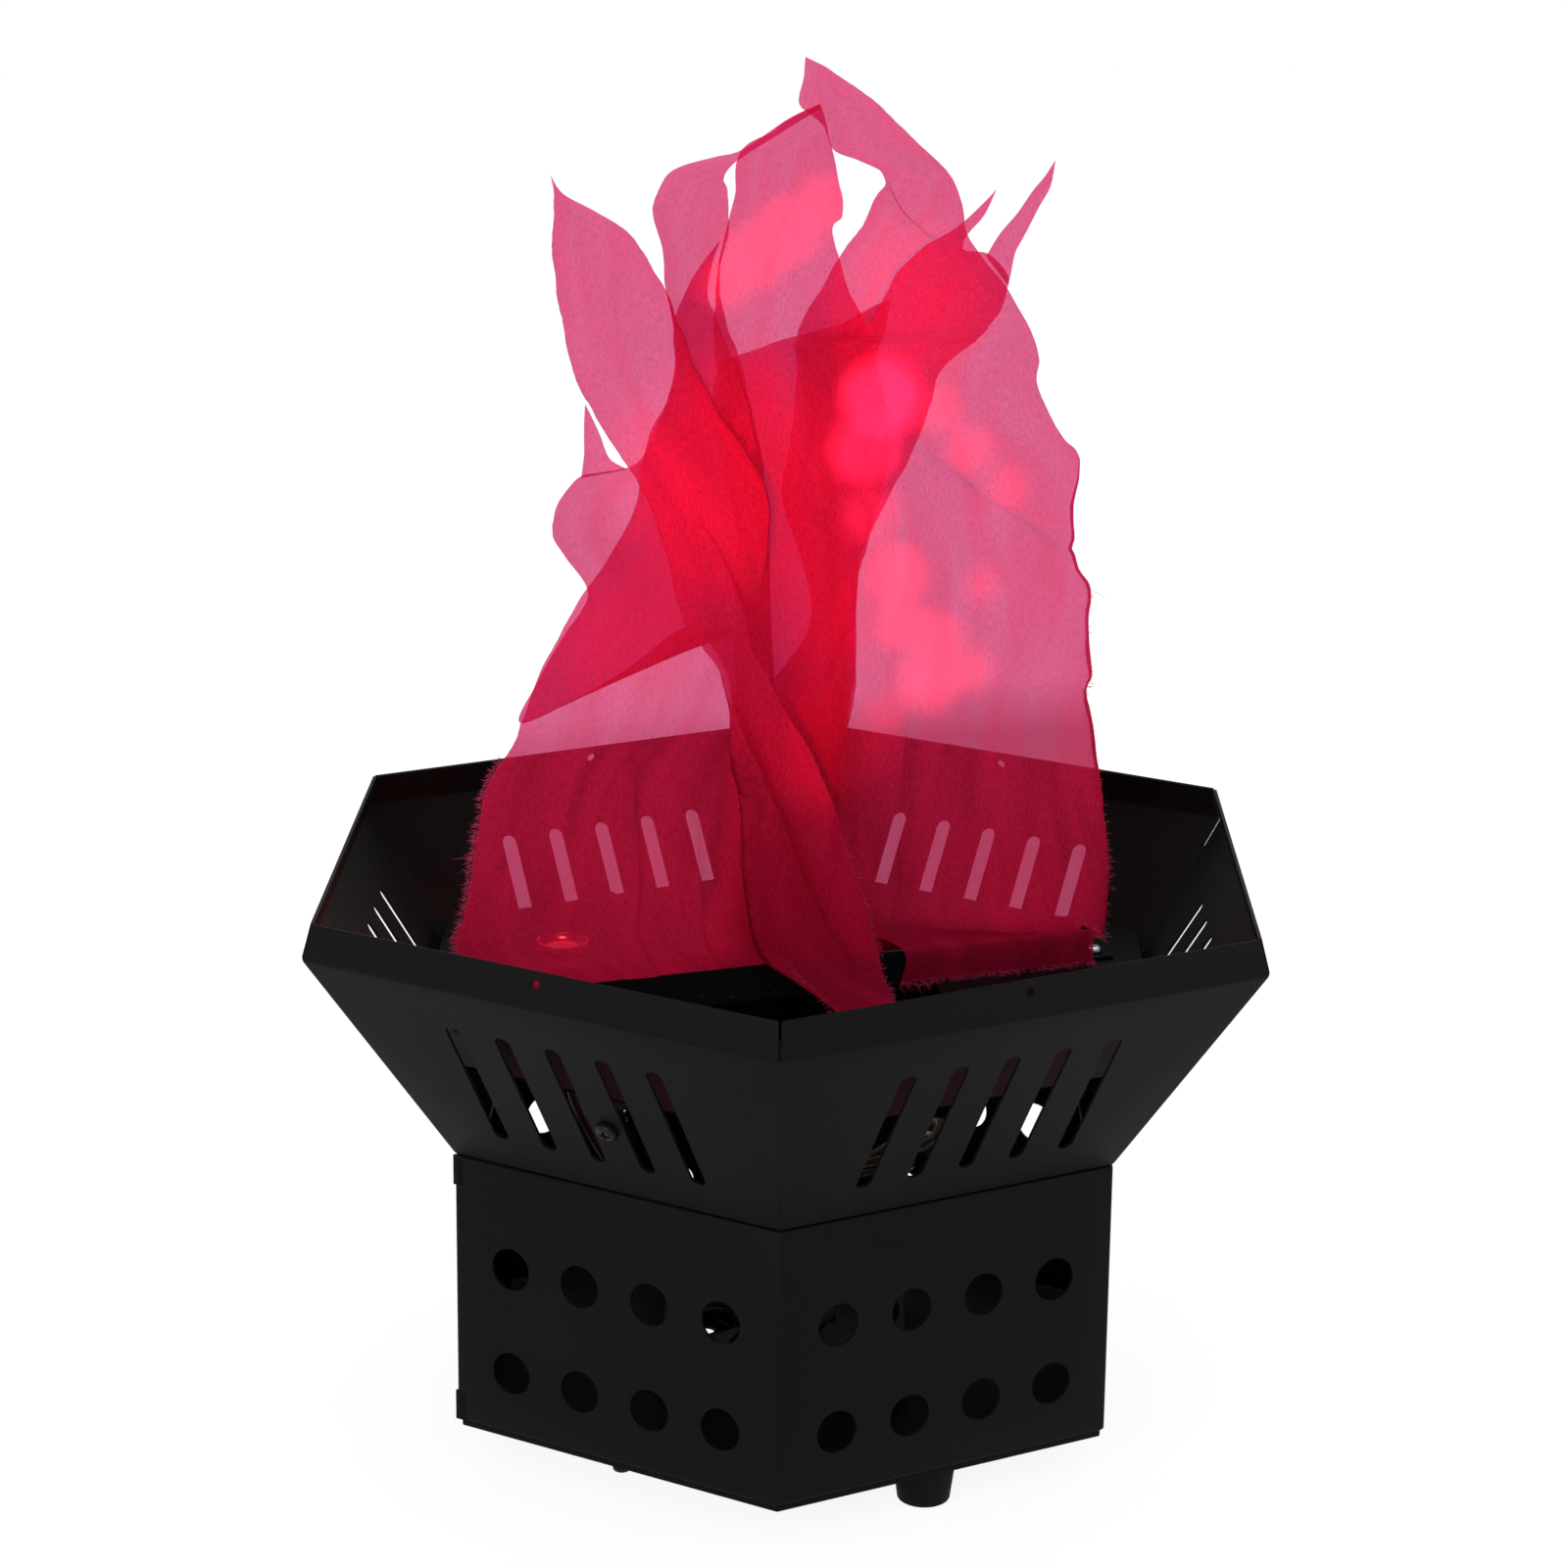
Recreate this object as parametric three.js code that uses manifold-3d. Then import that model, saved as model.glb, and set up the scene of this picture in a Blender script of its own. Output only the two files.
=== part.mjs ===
// A silk flame effect light: a hexagonal sheet steel fire bowl with a fan in its box, three LED
// lamps in its deck and seven silk leaves that stand on a collar in the middle of the deck.
// Millimetres, +Z up. The origin is on the surface that the feet stand on, under the box's centre.
// The box has a corner towards -Y, which is the front.

import * as THREE from 'three';
import { mergeVertices } from 'three/addons/utils/BufferGeometryUtils.js';
import Module from 'manifold-3d';

const wasm = await Module();
wasm.setup();

// Sheet and fits
const SHEET = 1.0;
const PLATE_SHEET = 1.2;
const FIT_GAP = 0.3;
const SCREW_PLAY = 0.4;
const OVERRUN = 5;

// Feet
const FOOT_HEIGHT = 13.5;
const FOOT_TOP_RADIUS = 10;
const FOOT_BOTTOM_RADIUS = 8.3;
const FOOT_CIRCLE_RADIUS = 91.5;
const FOOT_CHAMFER = 0.8;
const FOOT_WELL_RADIUS = 5;
const FOOT_WELL_DEPTH = 5;

// Box
const BOX_VERTEX_RADIUS = 119.65;
const BOX_HEIGHT = 90.5;
const BOX_FLANGE = 7;
const VENT_RADIUS = 7;
const VENT_PITCH = 26;
const VENT_COLUMNS = 4;
const VENT_LOW_ROW = 20.7;
const VENT_ROW_PITCH = 35.5;
const SEAM_TAB_HEIGHT = 10;
const SEAM_TAB_PROUD = 1.0;
const SEAM_TAB_ROOT = 3;

// Bottom plate
const PLATE_INSET = 1.4;
const PLATE_HEM_WIDTH = 5;
const PLATE_HEM_DROP = 1.0;
const INTAKE_HOLE_RADIUS = 3.5;
const INTAKE_RING_RADII = [21, 31.5];
const INTAKE_RING_COUNTS = [6, 12];

// Tray: the wide bowl over the box, with its lip leaning inward
const TRAY_FLANGE = 7;
const FOLD_VERTEX_RADIUS = 170.35;
const FOLD_RISE = 72;
const RIM_VERTEX_RADIUS = 167;
const RIM_RISE = 11.1;
const SLOT_WIDTH = 5.5;
const SLOT_LENGTH = 52;
const SLOT_CENTRE = 40.5;
const SLOT_PITCH = 18;
const SLOT_COUNT = 5;
const LIP_HOLE_RADIUS = 1.5;
const LIP_HOLE_RISE = 7.4;
const LIP_SLIT = 0.9;
const OPEN_SEAM = 1.5;
const OPEN_SEAM_DROP = 9;
const LIP_SLIT_REACH = 8;

// Deck: the inner platform, hung on three tabs behind the tray's panels
const DECK_RISE = 36.6;
const DECK_EDGE_GAP = 8.2;
const DECK_OPENING_RADIUS = 50;
const DECK_TAB_WIDTH = 12;
const DECK_TAB_SIDE = 9;
const DECK_NUT_GAP = 1.6;
const DECK_TAB_TAIL = 6;

// Collar: the upright frame that the silk hangs on
const COLLAR_ANGLE = THREE.MathUtils.degToRad(21.5);
const COLLAR_LENGTH = 208;
const COLLAR_WIDTH = 17;
const COLLAR_HEIGHT = 11.6;
const COLLAR_FOOT_LENGTH = 10;
const COLLAR_FOOT_WIDTH = 12;

// Lamps
const LAMP_CIRCLE_RADIUS = 86.3;
const LAMP_DEGREES = [152.7, 35, -87.3];
const LENS_FLANGE_RADIUS = 10;
const LENS_FLANGE = 1.5;
const LENS_DOME = 1.6;
const LENS_SHOULDER_SHARE = 0.8;
const LENS_SKIRT_SHARE = 1 / 3;
const LENS_BODY_RADIUS = 8.8;
const LENS_BODY = 9;
const LENS_TAIL_RADIUS = 4.5;
const BOARD_RADIUS = 9.6;
const BOARD = 1.6;
const SINK_RADIUS = 13;
const SINK_FIN = 2.4;
const SINK_FINS = 9;
const SINK_FLOOR = 5;
const LEAD_HOLE_RADIUS = 2;

// Fan
const FAN_SIZE = 80;
const FAN_DEPTH = 15;
const FAN_CORNER = 5;
const FAN_DUCT_RADIUS = 38.3;
const FAN_HOLE_SPACING = 71.5;
const FAN_HOLE_RADIUS = 2.3;
const FAN_SPIDER = 2.5;
const FAN_SPIDER_RADIUS = 16;
const FAN_STRUT_WIDTH = 5;
const FAN_STRUTS = 4;
const BEARING_RADIUS = 4;
const BEARING_LENGTH = 7;
const BEARING_PLAY = 0.1;
const SHAFT_RADIUS = 1.5;
const ROTOR_RISE = 3.3;
const HUB_RADIUS = 17;
const HUB_HEIGHT = 11;
const HUB_WALL = 1.5;
const BLADE_COUNT = 7;
const BLADE_TIP_GAP = 1;
const BLADE_THICKNESS = 1.4;
const BLADE_HEIGHT = 8.6;
const BLADE_ROOT_SPAN = 46;
const BLADE_TIP_SPAN = 47;
const BLADE_SWEEP = 14;
const BLADE_CAMBER = 1.2;

// Driver, inlet and leads
const DRIVER_LENGTH = 56;
const DRIVER_WIDTH = 34;
const DRIVER_HEIGHT = 20;
const DRIVER_CORNER = 3;
const DRIVER_FAN_GAP = 12;
const INLET_RISE = 38.5;
const INLET_RADIUS = 5.2;
const INLET_LENGTH = 16;
const INLET_FLANGE_RADIUS = 7.2;
const INLET_FLANGE = 2;
const INLET_SOCKET_RADIUS = 3;
const INLET_SOCKET_DEPTH = 10;
const INLET_PIN_RADIUS = 1;
const INLET_NUT = 2.2;
const LEAD_RADIUS = 1.6;
const LEAD_STEP = 11;
const LEAD_RUN = 8;
const LEAD_SIDE_SHARE = 0.18;
const FAN_LEAD_SHARE = 0.21;

// Screws and nuts: shank radius, head radius, head height
const M3 = { shank: 1.5, head: 2.9, cap: 1.9, nut: 3.1, nutHeight: 2.4 };
const M4 = { shank: 2, head: 3.7, cap: 2.5, nut: 4, nutHeight: 3.2 };
const HEAD_SIDE_SHARE = 0.5;
const HEAD_TOP_SHARE = 0.66;
const SHEET_SCREW_LENGTH = 5;
const DECK_SCREW_LENGTH = 8;
const FAN_SCREW_LENGTH = 12;

// Silk
const SILK = 0.5;
const SILK_RISE = 290;
const SILK_SPAN = 112;
const SILK_DEPTH = 40;
const SILK_TIP = 1.6;
const SILK_OVER_WALL = 0.5;
const SILK_HEM = 8.8;
const SILK_FOLD = 1.5;

// Heights and radii that follow from the driving sizes
const SIDES = 6;
const FLAT = Math.cos(Math.PI / SIDES);
const PLATE_BOTTOM = FOOT_HEIGHT + FIT_GAP;
const PLATE_TOP = PLATE_BOTTOM + PLATE_SHEET;
const BOX_BOTTOM = PLATE_TOP + FIT_GAP;
const BOX_TOP = BOX_BOTTOM + BOX_HEIGHT;
const TRAY_BOTTOM = BOX_TOP + FIT_GAP;
const FOLD_Z = TRAY_BOTTOM + FOLD_RISE;
const RIM_Z = FOLD_Z + RIM_RISE;
const DECK_TOP = TRAY_BOTTOM + DECK_RISE;
const DECK_BOTTOM = DECK_TOP - SHEET;
const COLLAR_BOTTOM = DECK_TOP + FIT_GAP;
const COLLAR_TOP = COLLAR_BOTTOM + COLLAR_HEIGHT;
const FAN_BOTTOM = PLATE_TOP + FIT_GAP;
const FAN_TOP = FAN_BOTTOM + FAN_DEPTH;
const BOX_APOTHEM = BOX_VERTEX_RADIUS * FLAT;
const TRAY_RUN = (FOLD_VERTEX_RADIUS - BOX_VERTEX_RADIUS) * FLAT;
const TRAY_TILT = Math.atan2(TRAY_RUN, FOLD_RISE);
const LIP_RUN = (RIM_VERTEX_RADIUS - FOLD_VERTEX_RADIUS) * FLAT;
const LIP_TILT = Math.atan2(LIP_RUN, RIM_RISE);
const trayApothem = (z) => BOX_APOTHEM + (z - TRAY_BOTTOM) * Math.tan(TRAY_TILT);
const DECK_APOTHEM = trayApothem(DECK_TOP) - DECK_EDGE_GAP;
// The deck screws sit as high on the tray's slope as their nuts fit under the deck
const DECK_NUT_DEPTH = 2 * (SHEET + FIT_GAP) + M4.nutHeight;
const DECK_NUT_TOP = DECK_RISE - SHEET - DECK_NUT_GAP - DECK_NUT_DEPTH * Math.sin(TRAY_TILT);
const DECK_SCREW_RISE = DECK_NUT_TOP / Math.cos(TRAY_TILT) - M4.nut;
const BOX_FLANGE_APOTHEM = BOX_APOTHEM - SHEET - BOX_FLANGE;
const BOX_SCREW_APOTHEM = BOX_APOTHEM - SHEET - BOX_FLANGE / 2;

// Facet counts
const ROUND = 14;
const VENT_ROUND = 12;
const SLOT_END_FACETS = 2;
const CORNER_FACETS = 2;
const HEAD_ROUND = 12;
const NUT_SIDES = 6;
const SMALL_ROUND = 8;
const LEAD_ROUND = 6;
const LEAD_LEAST_STEPS = 4;
const LENS_ROUND = 14;
const DUCT_ROUND = 32;
const BLADE_STEPS_ACROSS = 4;
const BLADE_STEPS_ALONG = 3;

const finish = (color, roughness, metalness) =>
  new THREE.MeshStandardMaterial({ color, roughness, metalness, side: THREE.DoubleSide });

const BLACK_STEEL = finish(0x1c1c1d, 0.62, 0.2);
const BLACK_RUBBER = finish(0x101010, 0.9, 0);
const BLACK_PLASTIC = finish(0x141415, 0.5, 0);
const DARK_SCREW = finish(0x2a2a2c, 0.35, 0.9);
const BRIGHT_STEEL = finish(0xb4b6b8, 0.3, 1);
const ALUMINIUM = finish(0xa9acb0, 0.4, 1);
const WHITE_BOARD = finish(0xe6e6e0, 0.5, 0);
const CLEAR_LENS = new THREE.MeshStandardMaterial({
  color: 0xff5a6a, roughness: 0.08, metalness: 0, transparent: true, opacity: 0.6,
});
const ORANGE_LEAD = finish(0xa8502a, 0.5, 0);
const BLACK_LEAD = finish(0x161616, 0.5, 0);
const SILK_CLOTH = new THREE.MeshStandardMaterial({
  color: 0xdc2a62, roughness: 0.75, metalness: 0, side: THREE.DoubleSide,
  transparent: true, opacity: 0.75,
});

const model = new THREE.Group();

function add(geometry, name, material) {
  const mesh = new THREE.Mesh(geometry, material);
  mesh.name = name;
  model.add(mesh);
  return mesh;
}

// Closed solids that can be joined and cut

function solid(geometry) {
  const bare = geometry.clone();
  bare.deleteAttribute('normal');
  if (bare.getAttribute('uv')) bare.deleteAttribute('uv');
  const merged = mergeVertices(bare, 1e-4);
  return new wasm.Manifold(new wasm.Mesh({
    numProp: 3,
    vertProperties: new Float32Array(merged.getAttribute('position').array),
    triVerts: new Uint32Array(merged.getIndex().array),
  }));
}

function geometryOf(body) {
  const mesh = body.getMesh();
  const geometry = new THREE.BufferGeometry();
  geometry.setAttribute('position', new THREE.BufferAttribute(new Float32Array(mesh.vertProperties), 3));
  geometry.setIndex(new THREE.BufferAttribute(new Uint32Array(mesh.triVerts), 1));
  return geometry;
}

const joinAll = (bodies) => bodies.reduce((left, right) => left.add(right));
const cutAll = (body, cutters) => body.subtract(joinAll(cutters));

// Shapes and simple forms, all standing on z = bottom unless a matrix turns them

function polygonShape(radius, sides, firstAngle) {
  const points = [];
  for (let k = 0; k < sides; k += 1) {
    const angle = firstAngle + (2 * Math.PI * k) / sides;
    points.push(new THREE.Vector2(radius * Math.cos(angle), radius * Math.sin(angle)));
  }
  return new THREE.Shape(points);
}

const hexagon = (radius) => polygonShape(radius, SIDES, -Math.PI / 2);
const roundShape = (radius, sides = ROUND) => polygonShape(radius, sides, Math.PI / sides);

function rectangle(length, width) {
  const x = length / 2;
  const y = width / 2;
  return new THREE.Shape([
    new THREE.Vector2(-x, -y), new THREE.Vector2(x, -y), new THREE.Vector2(x, y), new THREE.Vector2(-x, y),
  ]);
}

function roundedRectangle(length, width, corner) {
  const x = length / 2 - corner;
  const y = width / 2 - corner;
  const shape = new THREE.Shape();
  shape.absarc(x, y, corner, 0, Math.PI / 2);
  shape.absarc(-x, y, corner, Math.PI / 2, Math.PI);
  shape.absarc(-x, -y, corner, Math.PI, 1.5 * Math.PI);
  shape.absarc(x, -y, corner, 1.5 * Math.PI, 2 * Math.PI);
  return shape;
}

function slotShape(width, length) {
  const half = (length - width) / 2;
  const shape = new THREE.Shape();
  shape.absarc(0, half, width / 2, 0, Math.PI);
  shape.absarc(0, -half, width / 2, Math.PI, 2 * Math.PI);
  return shape;
}

function prism(shape, bottom, top, curveSegments = CORNER_FACETS) {
  const depth = top - bottom;
  const geometry = new THREE.ExtrudeGeometry(shape, { depth, bevelEnabled: false, curveSegments });
  return geometry.translate(0, 0, bottom);
}

// A turned form about Z. The profile is a list of [radius, height] that runs outside the solid
// from its lowest point upward, and ends on the axis or closes on itself.
function turned(profile, segments = ROUND) {
  const points = profile.map(([radius, height]) => new THREE.Vector2(radius, height));
  return new THREE.LatheGeometry(points, segments).rotateX(Math.PI / 2);
}

function ringProfile(inner, outer, bottom, top) {
  return [[inner, bottom], [outer, bottom], [outer, top], [inner, top], [inner, bottom]];
}

// The place of panel k: x runs along the panel to the left seen from inside, y up its face and
// z out of it. Its origin is in the middle of the panel's bottom edge.
function panelFrame(k, apothem, bottom, tilt) {
  const angle = ((k - 1) * 2 * Math.PI) / SIDES;
  const out = new THREE.Vector3(Math.cos(angle), Math.sin(angle), 0);
  const along = new THREE.Vector3(-Math.sin(angle), Math.cos(angle), 0);
  const up = new THREE.Vector3(0, 0, 1);
  const slope = up.clone().multiplyScalar(Math.cos(tilt)).addScaledVector(out, Math.sin(tilt));
  const face = out.clone().multiplyScalar(Math.cos(tilt)).addScaledVector(up, -Math.sin(tilt));
  const matrix = new THREE.Matrix4().makeBasis(along, slope, face);
  return matrix.setPosition(out.x * apothem, out.y * apothem, bottom);
}

const boxPanel = (k) => panelFrame(k, BOX_APOTHEM, BOX_BOTTOM, 0);
const trayPanel = (k) => panelFrame(k, BOX_APOTHEM, TRAY_BOTTOM, TRAY_TILT);
const lipPanel = (k) => panelFrame(k, BOX_APOTHEM + TRAY_RUN, FOLD_Z, LIP_TILT);
const eachSide = Array.from({ length: SIDES }, (_, k) => k);
// The three panels with a deck tab: they face 0, 120 and 240 degrees
const TAB_PANELS = [5, 1, 3];
const SEAM_PANEL = 5;
const INLET_PANEL = 2;
const OPEN_CORNER = 2;

function at(geometry, matrix, x = 0, y = 0, z = 0) {
  return geometry.clone().translate(x, y, z).applyMatrix4(matrix);
}

const aboutZ = (angle) => new THREE.Matrix4().makeRotationZ(angle);
const place = (x, y, z = 0) => new THREE.Matrix4().makeTranslation(x, y, z);

function polar(radius, degrees) {
  const angle = THREE.MathUtils.degToRad(degrees);
  return new THREE.Vector2(radius * Math.cos(angle), radius * Math.sin(angle));
}

const SIDE_DEGREES = 360 / SIDES;
const panelDegrees = (k) => (k - 1) * SIDE_DEGREES;
const cornerDegrees = (k) => panelDegrees(k) - SIDE_DEGREES / 2;
const FOOT_ANGLES = [0, 2, 4].map(panelDegrees);

// A pan head screw with its head above z = 0 and its shank below
function panScrew(size, length, segments = SMALL_ROUND) {
  return turned([
    [0, -length], [size.shank, -length], [size.shank, 0], [size.head, 0],
    [size.head, size.cap * HEAD_SIDE_SHARE], [size.head * HEAD_TOP_SHARE, size.cap], [0, size.cap],
  ], segments);
}

function hexNut(size) {
  const shape = polygonShape(size.nut, NUT_SIDES, 0);
  shape.holes.push(roundShape(size.shank + SCREW_PLAY / 2, SMALL_ROUND));
  return prism(shape, 0, size.nutHeight);
}

const shankHole = (size, play = SCREW_PLAY) => roundShape(size.shank + play, SMALL_ROUND);

// Box

function buildBox() {
  const wall = SHEET / FLAT;
  let box = solid(prism(hexagon(BOX_VERTEX_RADIUS), BOX_BOTTOM, BOX_TOP));
  const cavity = solid(prism(hexagon(BOX_VERTEX_RADIUS - wall), BOX_BOTTOM + SHEET, BOX_TOP - SHEET));
  const mouth = prism(hexagon(BOX_FLANGE_APOTHEM / FLAT), BOX_BOTTOM - OVERRUN, BOX_TOP + OVERRUN);
  box = cutAll(box, [cavity, solid(mouth)]);
  const vent = prism(roundShape(VENT_RADIUS, VENT_ROUND), -SHEET - OVERRUN, OVERRUN);
  const cutters = [];
  for (const k of eachSide) {
    for (let column = 0; column < VENT_COLUMNS; column += 1) {
      const x = (column - (VENT_COLUMNS - 1) / 2) * VENT_PITCH;
      for (const y of [VENT_LOW_ROW, VENT_LOW_ROW + VENT_ROW_PITCH]) {
        cutters.push(solid(at(vent, boxPanel(k), x, y)));
      }
    }
  }
  const inletHole = prism(roundShape(INLET_RADIUS + FIT_GAP), -SHEET - OVERRUN, OVERRUN);
  cutters.push(solid(at(inletHole, boxPanel(INLET_PANEL), 0, INLET_RISE)));
  for (const k of TAB_PANELS) {
    const spot = polar(BOX_SCREW_APOTHEM, panelDegrees(k));
    const bolt = prism(shankHole(M3), BOX_BOTTOM - OVERRUN, BOX_TOP + OVERRUN);
    cutters.push(solid(at(bolt, place(spot.x, spot.y))));
  }
  box = cutAll(box, cutters);
  // The seam's end tabs stand past the left front corner
  const tab = prism(rectangle(SEAM_TAB_PROUD + SEAM_TAB_ROOT, SEAM_TAB_HEIGHT), -SHEET, 0);
  const tabX = -BOX_VERTEX_RADIUS / 2 + (SEAM_TAB_ROOT - SEAM_TAB_PROUD) / 2;
  const tabHeights = [SEAM_TAB_HEIGHT / 2, BOX_HEIGHT - SEAM_TAB_HEIGHT / 2];
  const tabs = tabHeights.map((y) => solid(at(tab, boxPanel(SEAM_PANEL), tabX, y)));
  return geometryOf(joinAll([box, ...tabs]));
}

// Bottom plate with its folded hem, the fan's intake holes and its screw holes

function buildPlate() {
  const radius = BOX_VERTEX_RADIUS - PLATE_INSET;
  const rim = hexagon(radius);
  rim.holes.push(hexagon(radius - PLATE_HEM_WIDTH / FLAT));
  const plate = solid(prism(hexagon(radius), PLATE_BOTTOM, PLATE_TOP));
  // The hem stops short of the feet on both sides
  const reliefs = FOOT_ANGLES.map((degrees) => {
    const spot = polar(FOOT_CIRCLE_RADIUS, degrees);
    const relief = roundShape(FOOT_TOP_RADIUS + SCREW_PLAY);
    return solid(at(prism(relief, 0, PLATE_BOTTOM), place(spot.x, spot.y)));
  });
  const hem = cutAll(solid(prism(rim, PLATE_BOTTOM - PLATE_HEM_DROP, PLATE_TOP)), reliefs);
  const drill = (shape, x, y) => solid(at(
    prism(shape, PLATE_BOTTOM - OVERRUN, PLATE_TOP + OVERRUN), place(x, y)));
  const cutters = [];
  INTAKE_RING_RADII.forEach((ring, index) => {
    const count = INTAKE_RING_COUNTS[index];
    for (let n = 0; n < count; n += 1) {
      const spot = polar(ring, (360 * n) / count);
      cutters.push(drill(roundShape(INTAKE_HOLE_RADIUS, SMALL_ROUND), spot.x, spot.y));
    }
  });
  for (const degrees of FOOT_ANGLES) {
    const spot = polar(FOOT_CIRCLE_RADIUS, degrees);
    cutters.push(drill(shankHole(M4), spot.x, spot.y));
  }
  for (const k of TAB_PANELS) {
    const spot = polar(BOX_SCREW_APOTHEM, panelDegrees(k));
    cutters.push(drill(shankHole(M3), spot.x, spot.y));
  }
  for (const [x, y] of fanCorners()) cutters.push(drill(shankHole(M4), x, y));
  return geometryOf(cutAll(plate.add(hem), cutters));
}

function fanCorners() {
  const half = FAN_HOLE_SPACING / 2;
  return [[half, half], [-half, half], [-half, -half], [half, -half]];
}

function buildFoot() {
  const bore = M4.shank + SCREW_PLAY;
  const slope = (FOOT_TOP_RADIUS - FOOT_BOTTOM_RADIUS) / FOOT_HEIGHT;
  return turned([
    [FOOT_WELL_RADIUS, 0], [FOOT_BOTTOM_RADIUS - FOOT_CHAMFER, 0],
    [FOOT_BOTTOM_RADIUS + slope * FOOT_CHAMFER, FOOT_CHAMFER], [FOOT_TOP_RADIUS, FOOT_HEIGHT],
    [bore, FOOT_HEIGHT], [bore, FOOT_WELL_DEPTH], [FOOT_WELL_RADIUS, FOOT_WELL_DEPTH], [FOOT_WELL_RADIUS, 0],
  ]);
}

function footScrewLength() {
  return BOX_BOTTOM + M4.nutHeight + SHEET - FOOT_WELL_DEPTH + FIT_GAP;
}

// Tray

function buildTray() {
  const wall = SHEET / Math.cos(TRAY_TILT) / FLAT;
  const lipWall = SHEET / Math.cos(LIP_TILT) / FLAT;
  const flangeRadius = (BOX_APOTHEM - SHEET - TRAY_FLANGE) / FLAT;
  const liftedRadius = BOX_VERTEX_RADIUS - wall + (SHEET * Math.tan(TRAY_TILT)) / FLAT;
  let tray = solid(turned([
    [flangeRadius, TRAY_BOTTOM], [BOX_VERTEX_RADIUS, TRAY_BOTTOM], [FOLD_VERTEX_RADIUS, FOLD_Z],
    [RIM_VERTEX_RADIUS, RIM_Z], [RIM_VERTEX_RADIUS - lipWall, RIM_Z], [FOLD_VERTEX_RADIUS - wall, FOLD_Z],
    [liftedRadius, TRAY_BOTTOM + SHEET], [flangeRadius, TRAY_BOTTOM + SHEET], [flangeRadius, TRAY_BOTTOM],
  ], SIDES));
  const slot = prism(slotShape(SLOT_WIDTH, SLOT_LENGTH), -SHEET - OVERRUN, OVERRUN, SLOT_END_FACETS);
  const lipHole = prism(roundShape(LIP_HOLE_RADIUS, SMALL_ROUND), -SHEET - OVERRUN, OVERRUN);
  const tabHole = prism(shankHole(M4), -SHEET - OVERRUN, OVERRUN);
  const bolt = prism(shankHole(M3), TRAY_BOTTOM - OVERRUN, TRAY_BOTTOM + SHEET + OVERRUN);
  const cutters = [];
  for (const k of eachSide) {
    for (let n = 0; n < SLOT_COUNT; n += 1) {
      const x = (n - (SLOT_COUNT - 1) / 2) * SLOT_PITCH;
      cutters.push(solid(at(slot, trayPanel(k), x, SLOT_CENTRE)));
    }
    cutters.push(solid(at(lipHole, lipPanel(k), 0, LIP_HOLE_RISE)));
    const drop = k === OPEN_CORNER ? OPEN_SEAM_DROP : 0;
    const slitShape = rectangle(2 * LIP_SLIT_REACH, k === OPEN_CORNER ? OPEN_SEAM : LIP_SLIT);
    const slit = prism(slitShape, FOLD_Z - drop, RIM_Z + OVERRUN);
    const corner = polar(FOLD_VERTEX_RADIUS, cornerDegrees(k));
    const turn = aboutZ(THREE.MathUtils.degToRad(cornerDegrees(k)));
    cutters.push(solid(slit.applyMatrix4(turn).translate(corner.x, corner.y, 0)));
  }
  for (const k of TAB_PANELS) {
    cutters.push(solid(at(tabHole, trayPanel(k), DECK_TAB_SIDE, DECK_SCREW_RISE)));
    const spot = polar(BOX_SCREW_APOTHEM, panelDegrees(k));
    cutters.push(solid(at(bolt, place(spot.x, spot.y))));
  }
  tray = cutAll(tray, cutters);
  return geometryOf(tray);
}

// Deck

const lampSpots = () => LAMP_DEGREES.map((degrees) => polar(LAMP_CIRCLE_RADIUS, degrees));

function collarEnds() {
  const reach = COLLAR_LENGTH / 2 + COLLAR_FOOT_LENGTH / 2;
  const onLine = (s) => new THREE.Vector2(s * Math.cos(COLLAR_ANGLE), s * Math.sin(COLLAR_ANGLE));
  return [onLine(reach), onLine(-reach)];
}

function buildDeck() {
  const floor = prism(hexagon(DECK_APOTHEM / FLAT), DECK_BOTTOM, DECK_TOP);
  const tabFace = -SHEET - FIT_GAP;
  const tabTail = DECK_SCREW_RISE - DECK_TAB_TAIL;
  const tabTop = (DECK_RISE + OVERRUN) / Math.cos(TRAY_TILT);
  const tabShape = rectangle(DECK_TAB_WIDTH, tabTop - tabTail);
  const tab = prism(tabShape, tabFace - SHEET, tabFace);
  const reach = trayApothem(DECK_BOTTOM) + (tabFace - SHEET / 2) / Math.cos(TRAY_TILT);
  const tongue = prism(rectangle(DECK_TAB_WIDTH, reach - DECK_APOTHEM / 2), DECK_BOTTOM, DECK_TOP);
  const bodies = [solid(floor)];
  for (const k of TAB_PANELS) {
    bodies.push(solid(at(tab, trayPanel(k), DECK_TAB_SIDE, (tabTop + tabTail) / 2)));
    const turn = aboutZ(THREE.MathUtils.degToRad(panelDegrees(k) - 90));
    bodies.push(solid(at(tongue, turn, -DECK_TAB_SIDE, (reach + DECK_APOTHEM / 2) / 2)));
  }
  const above = prism(hexagon(FOLD_VERTEX_RADIUS), DECK_TOP, FOLD_Z);
  const drill = (shape, x, y) => solid(at(
    prism(shape, DECK_BOTTOM - OVERRUN, DECK_TOP + OVERRUN), place(x, y)));
  const cutters = [solid(above), drill(roundShape(DECK_OPENING_RADIUS, DUCT_ROUND), 0, 0)];
  for (const spot of lampSpots()) {
    cutters.push(drill(roundShape(LENS_BODY_RADIUS + FIT_GAP, LENS_ROUND), spot.x, spot.y));
  }
  for (const spot of collarEnds()) cutters.push(drill(shankHole(M3), spot.x, spot.y));
  const tabHole = prism(shankHole(M4), tabFace - SHEET - OVERRUN, tabFace + OVERRUN);
  for (const k of TAB_PANELS) {
    cutters.push(solid(at(tabHole, trayPanel(k), DECK_TAB_SIDE, DECK_SCREW_RISE)));
  }
  return geometryOf(cutAll(joinAll(bodies), cutters));
}

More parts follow.
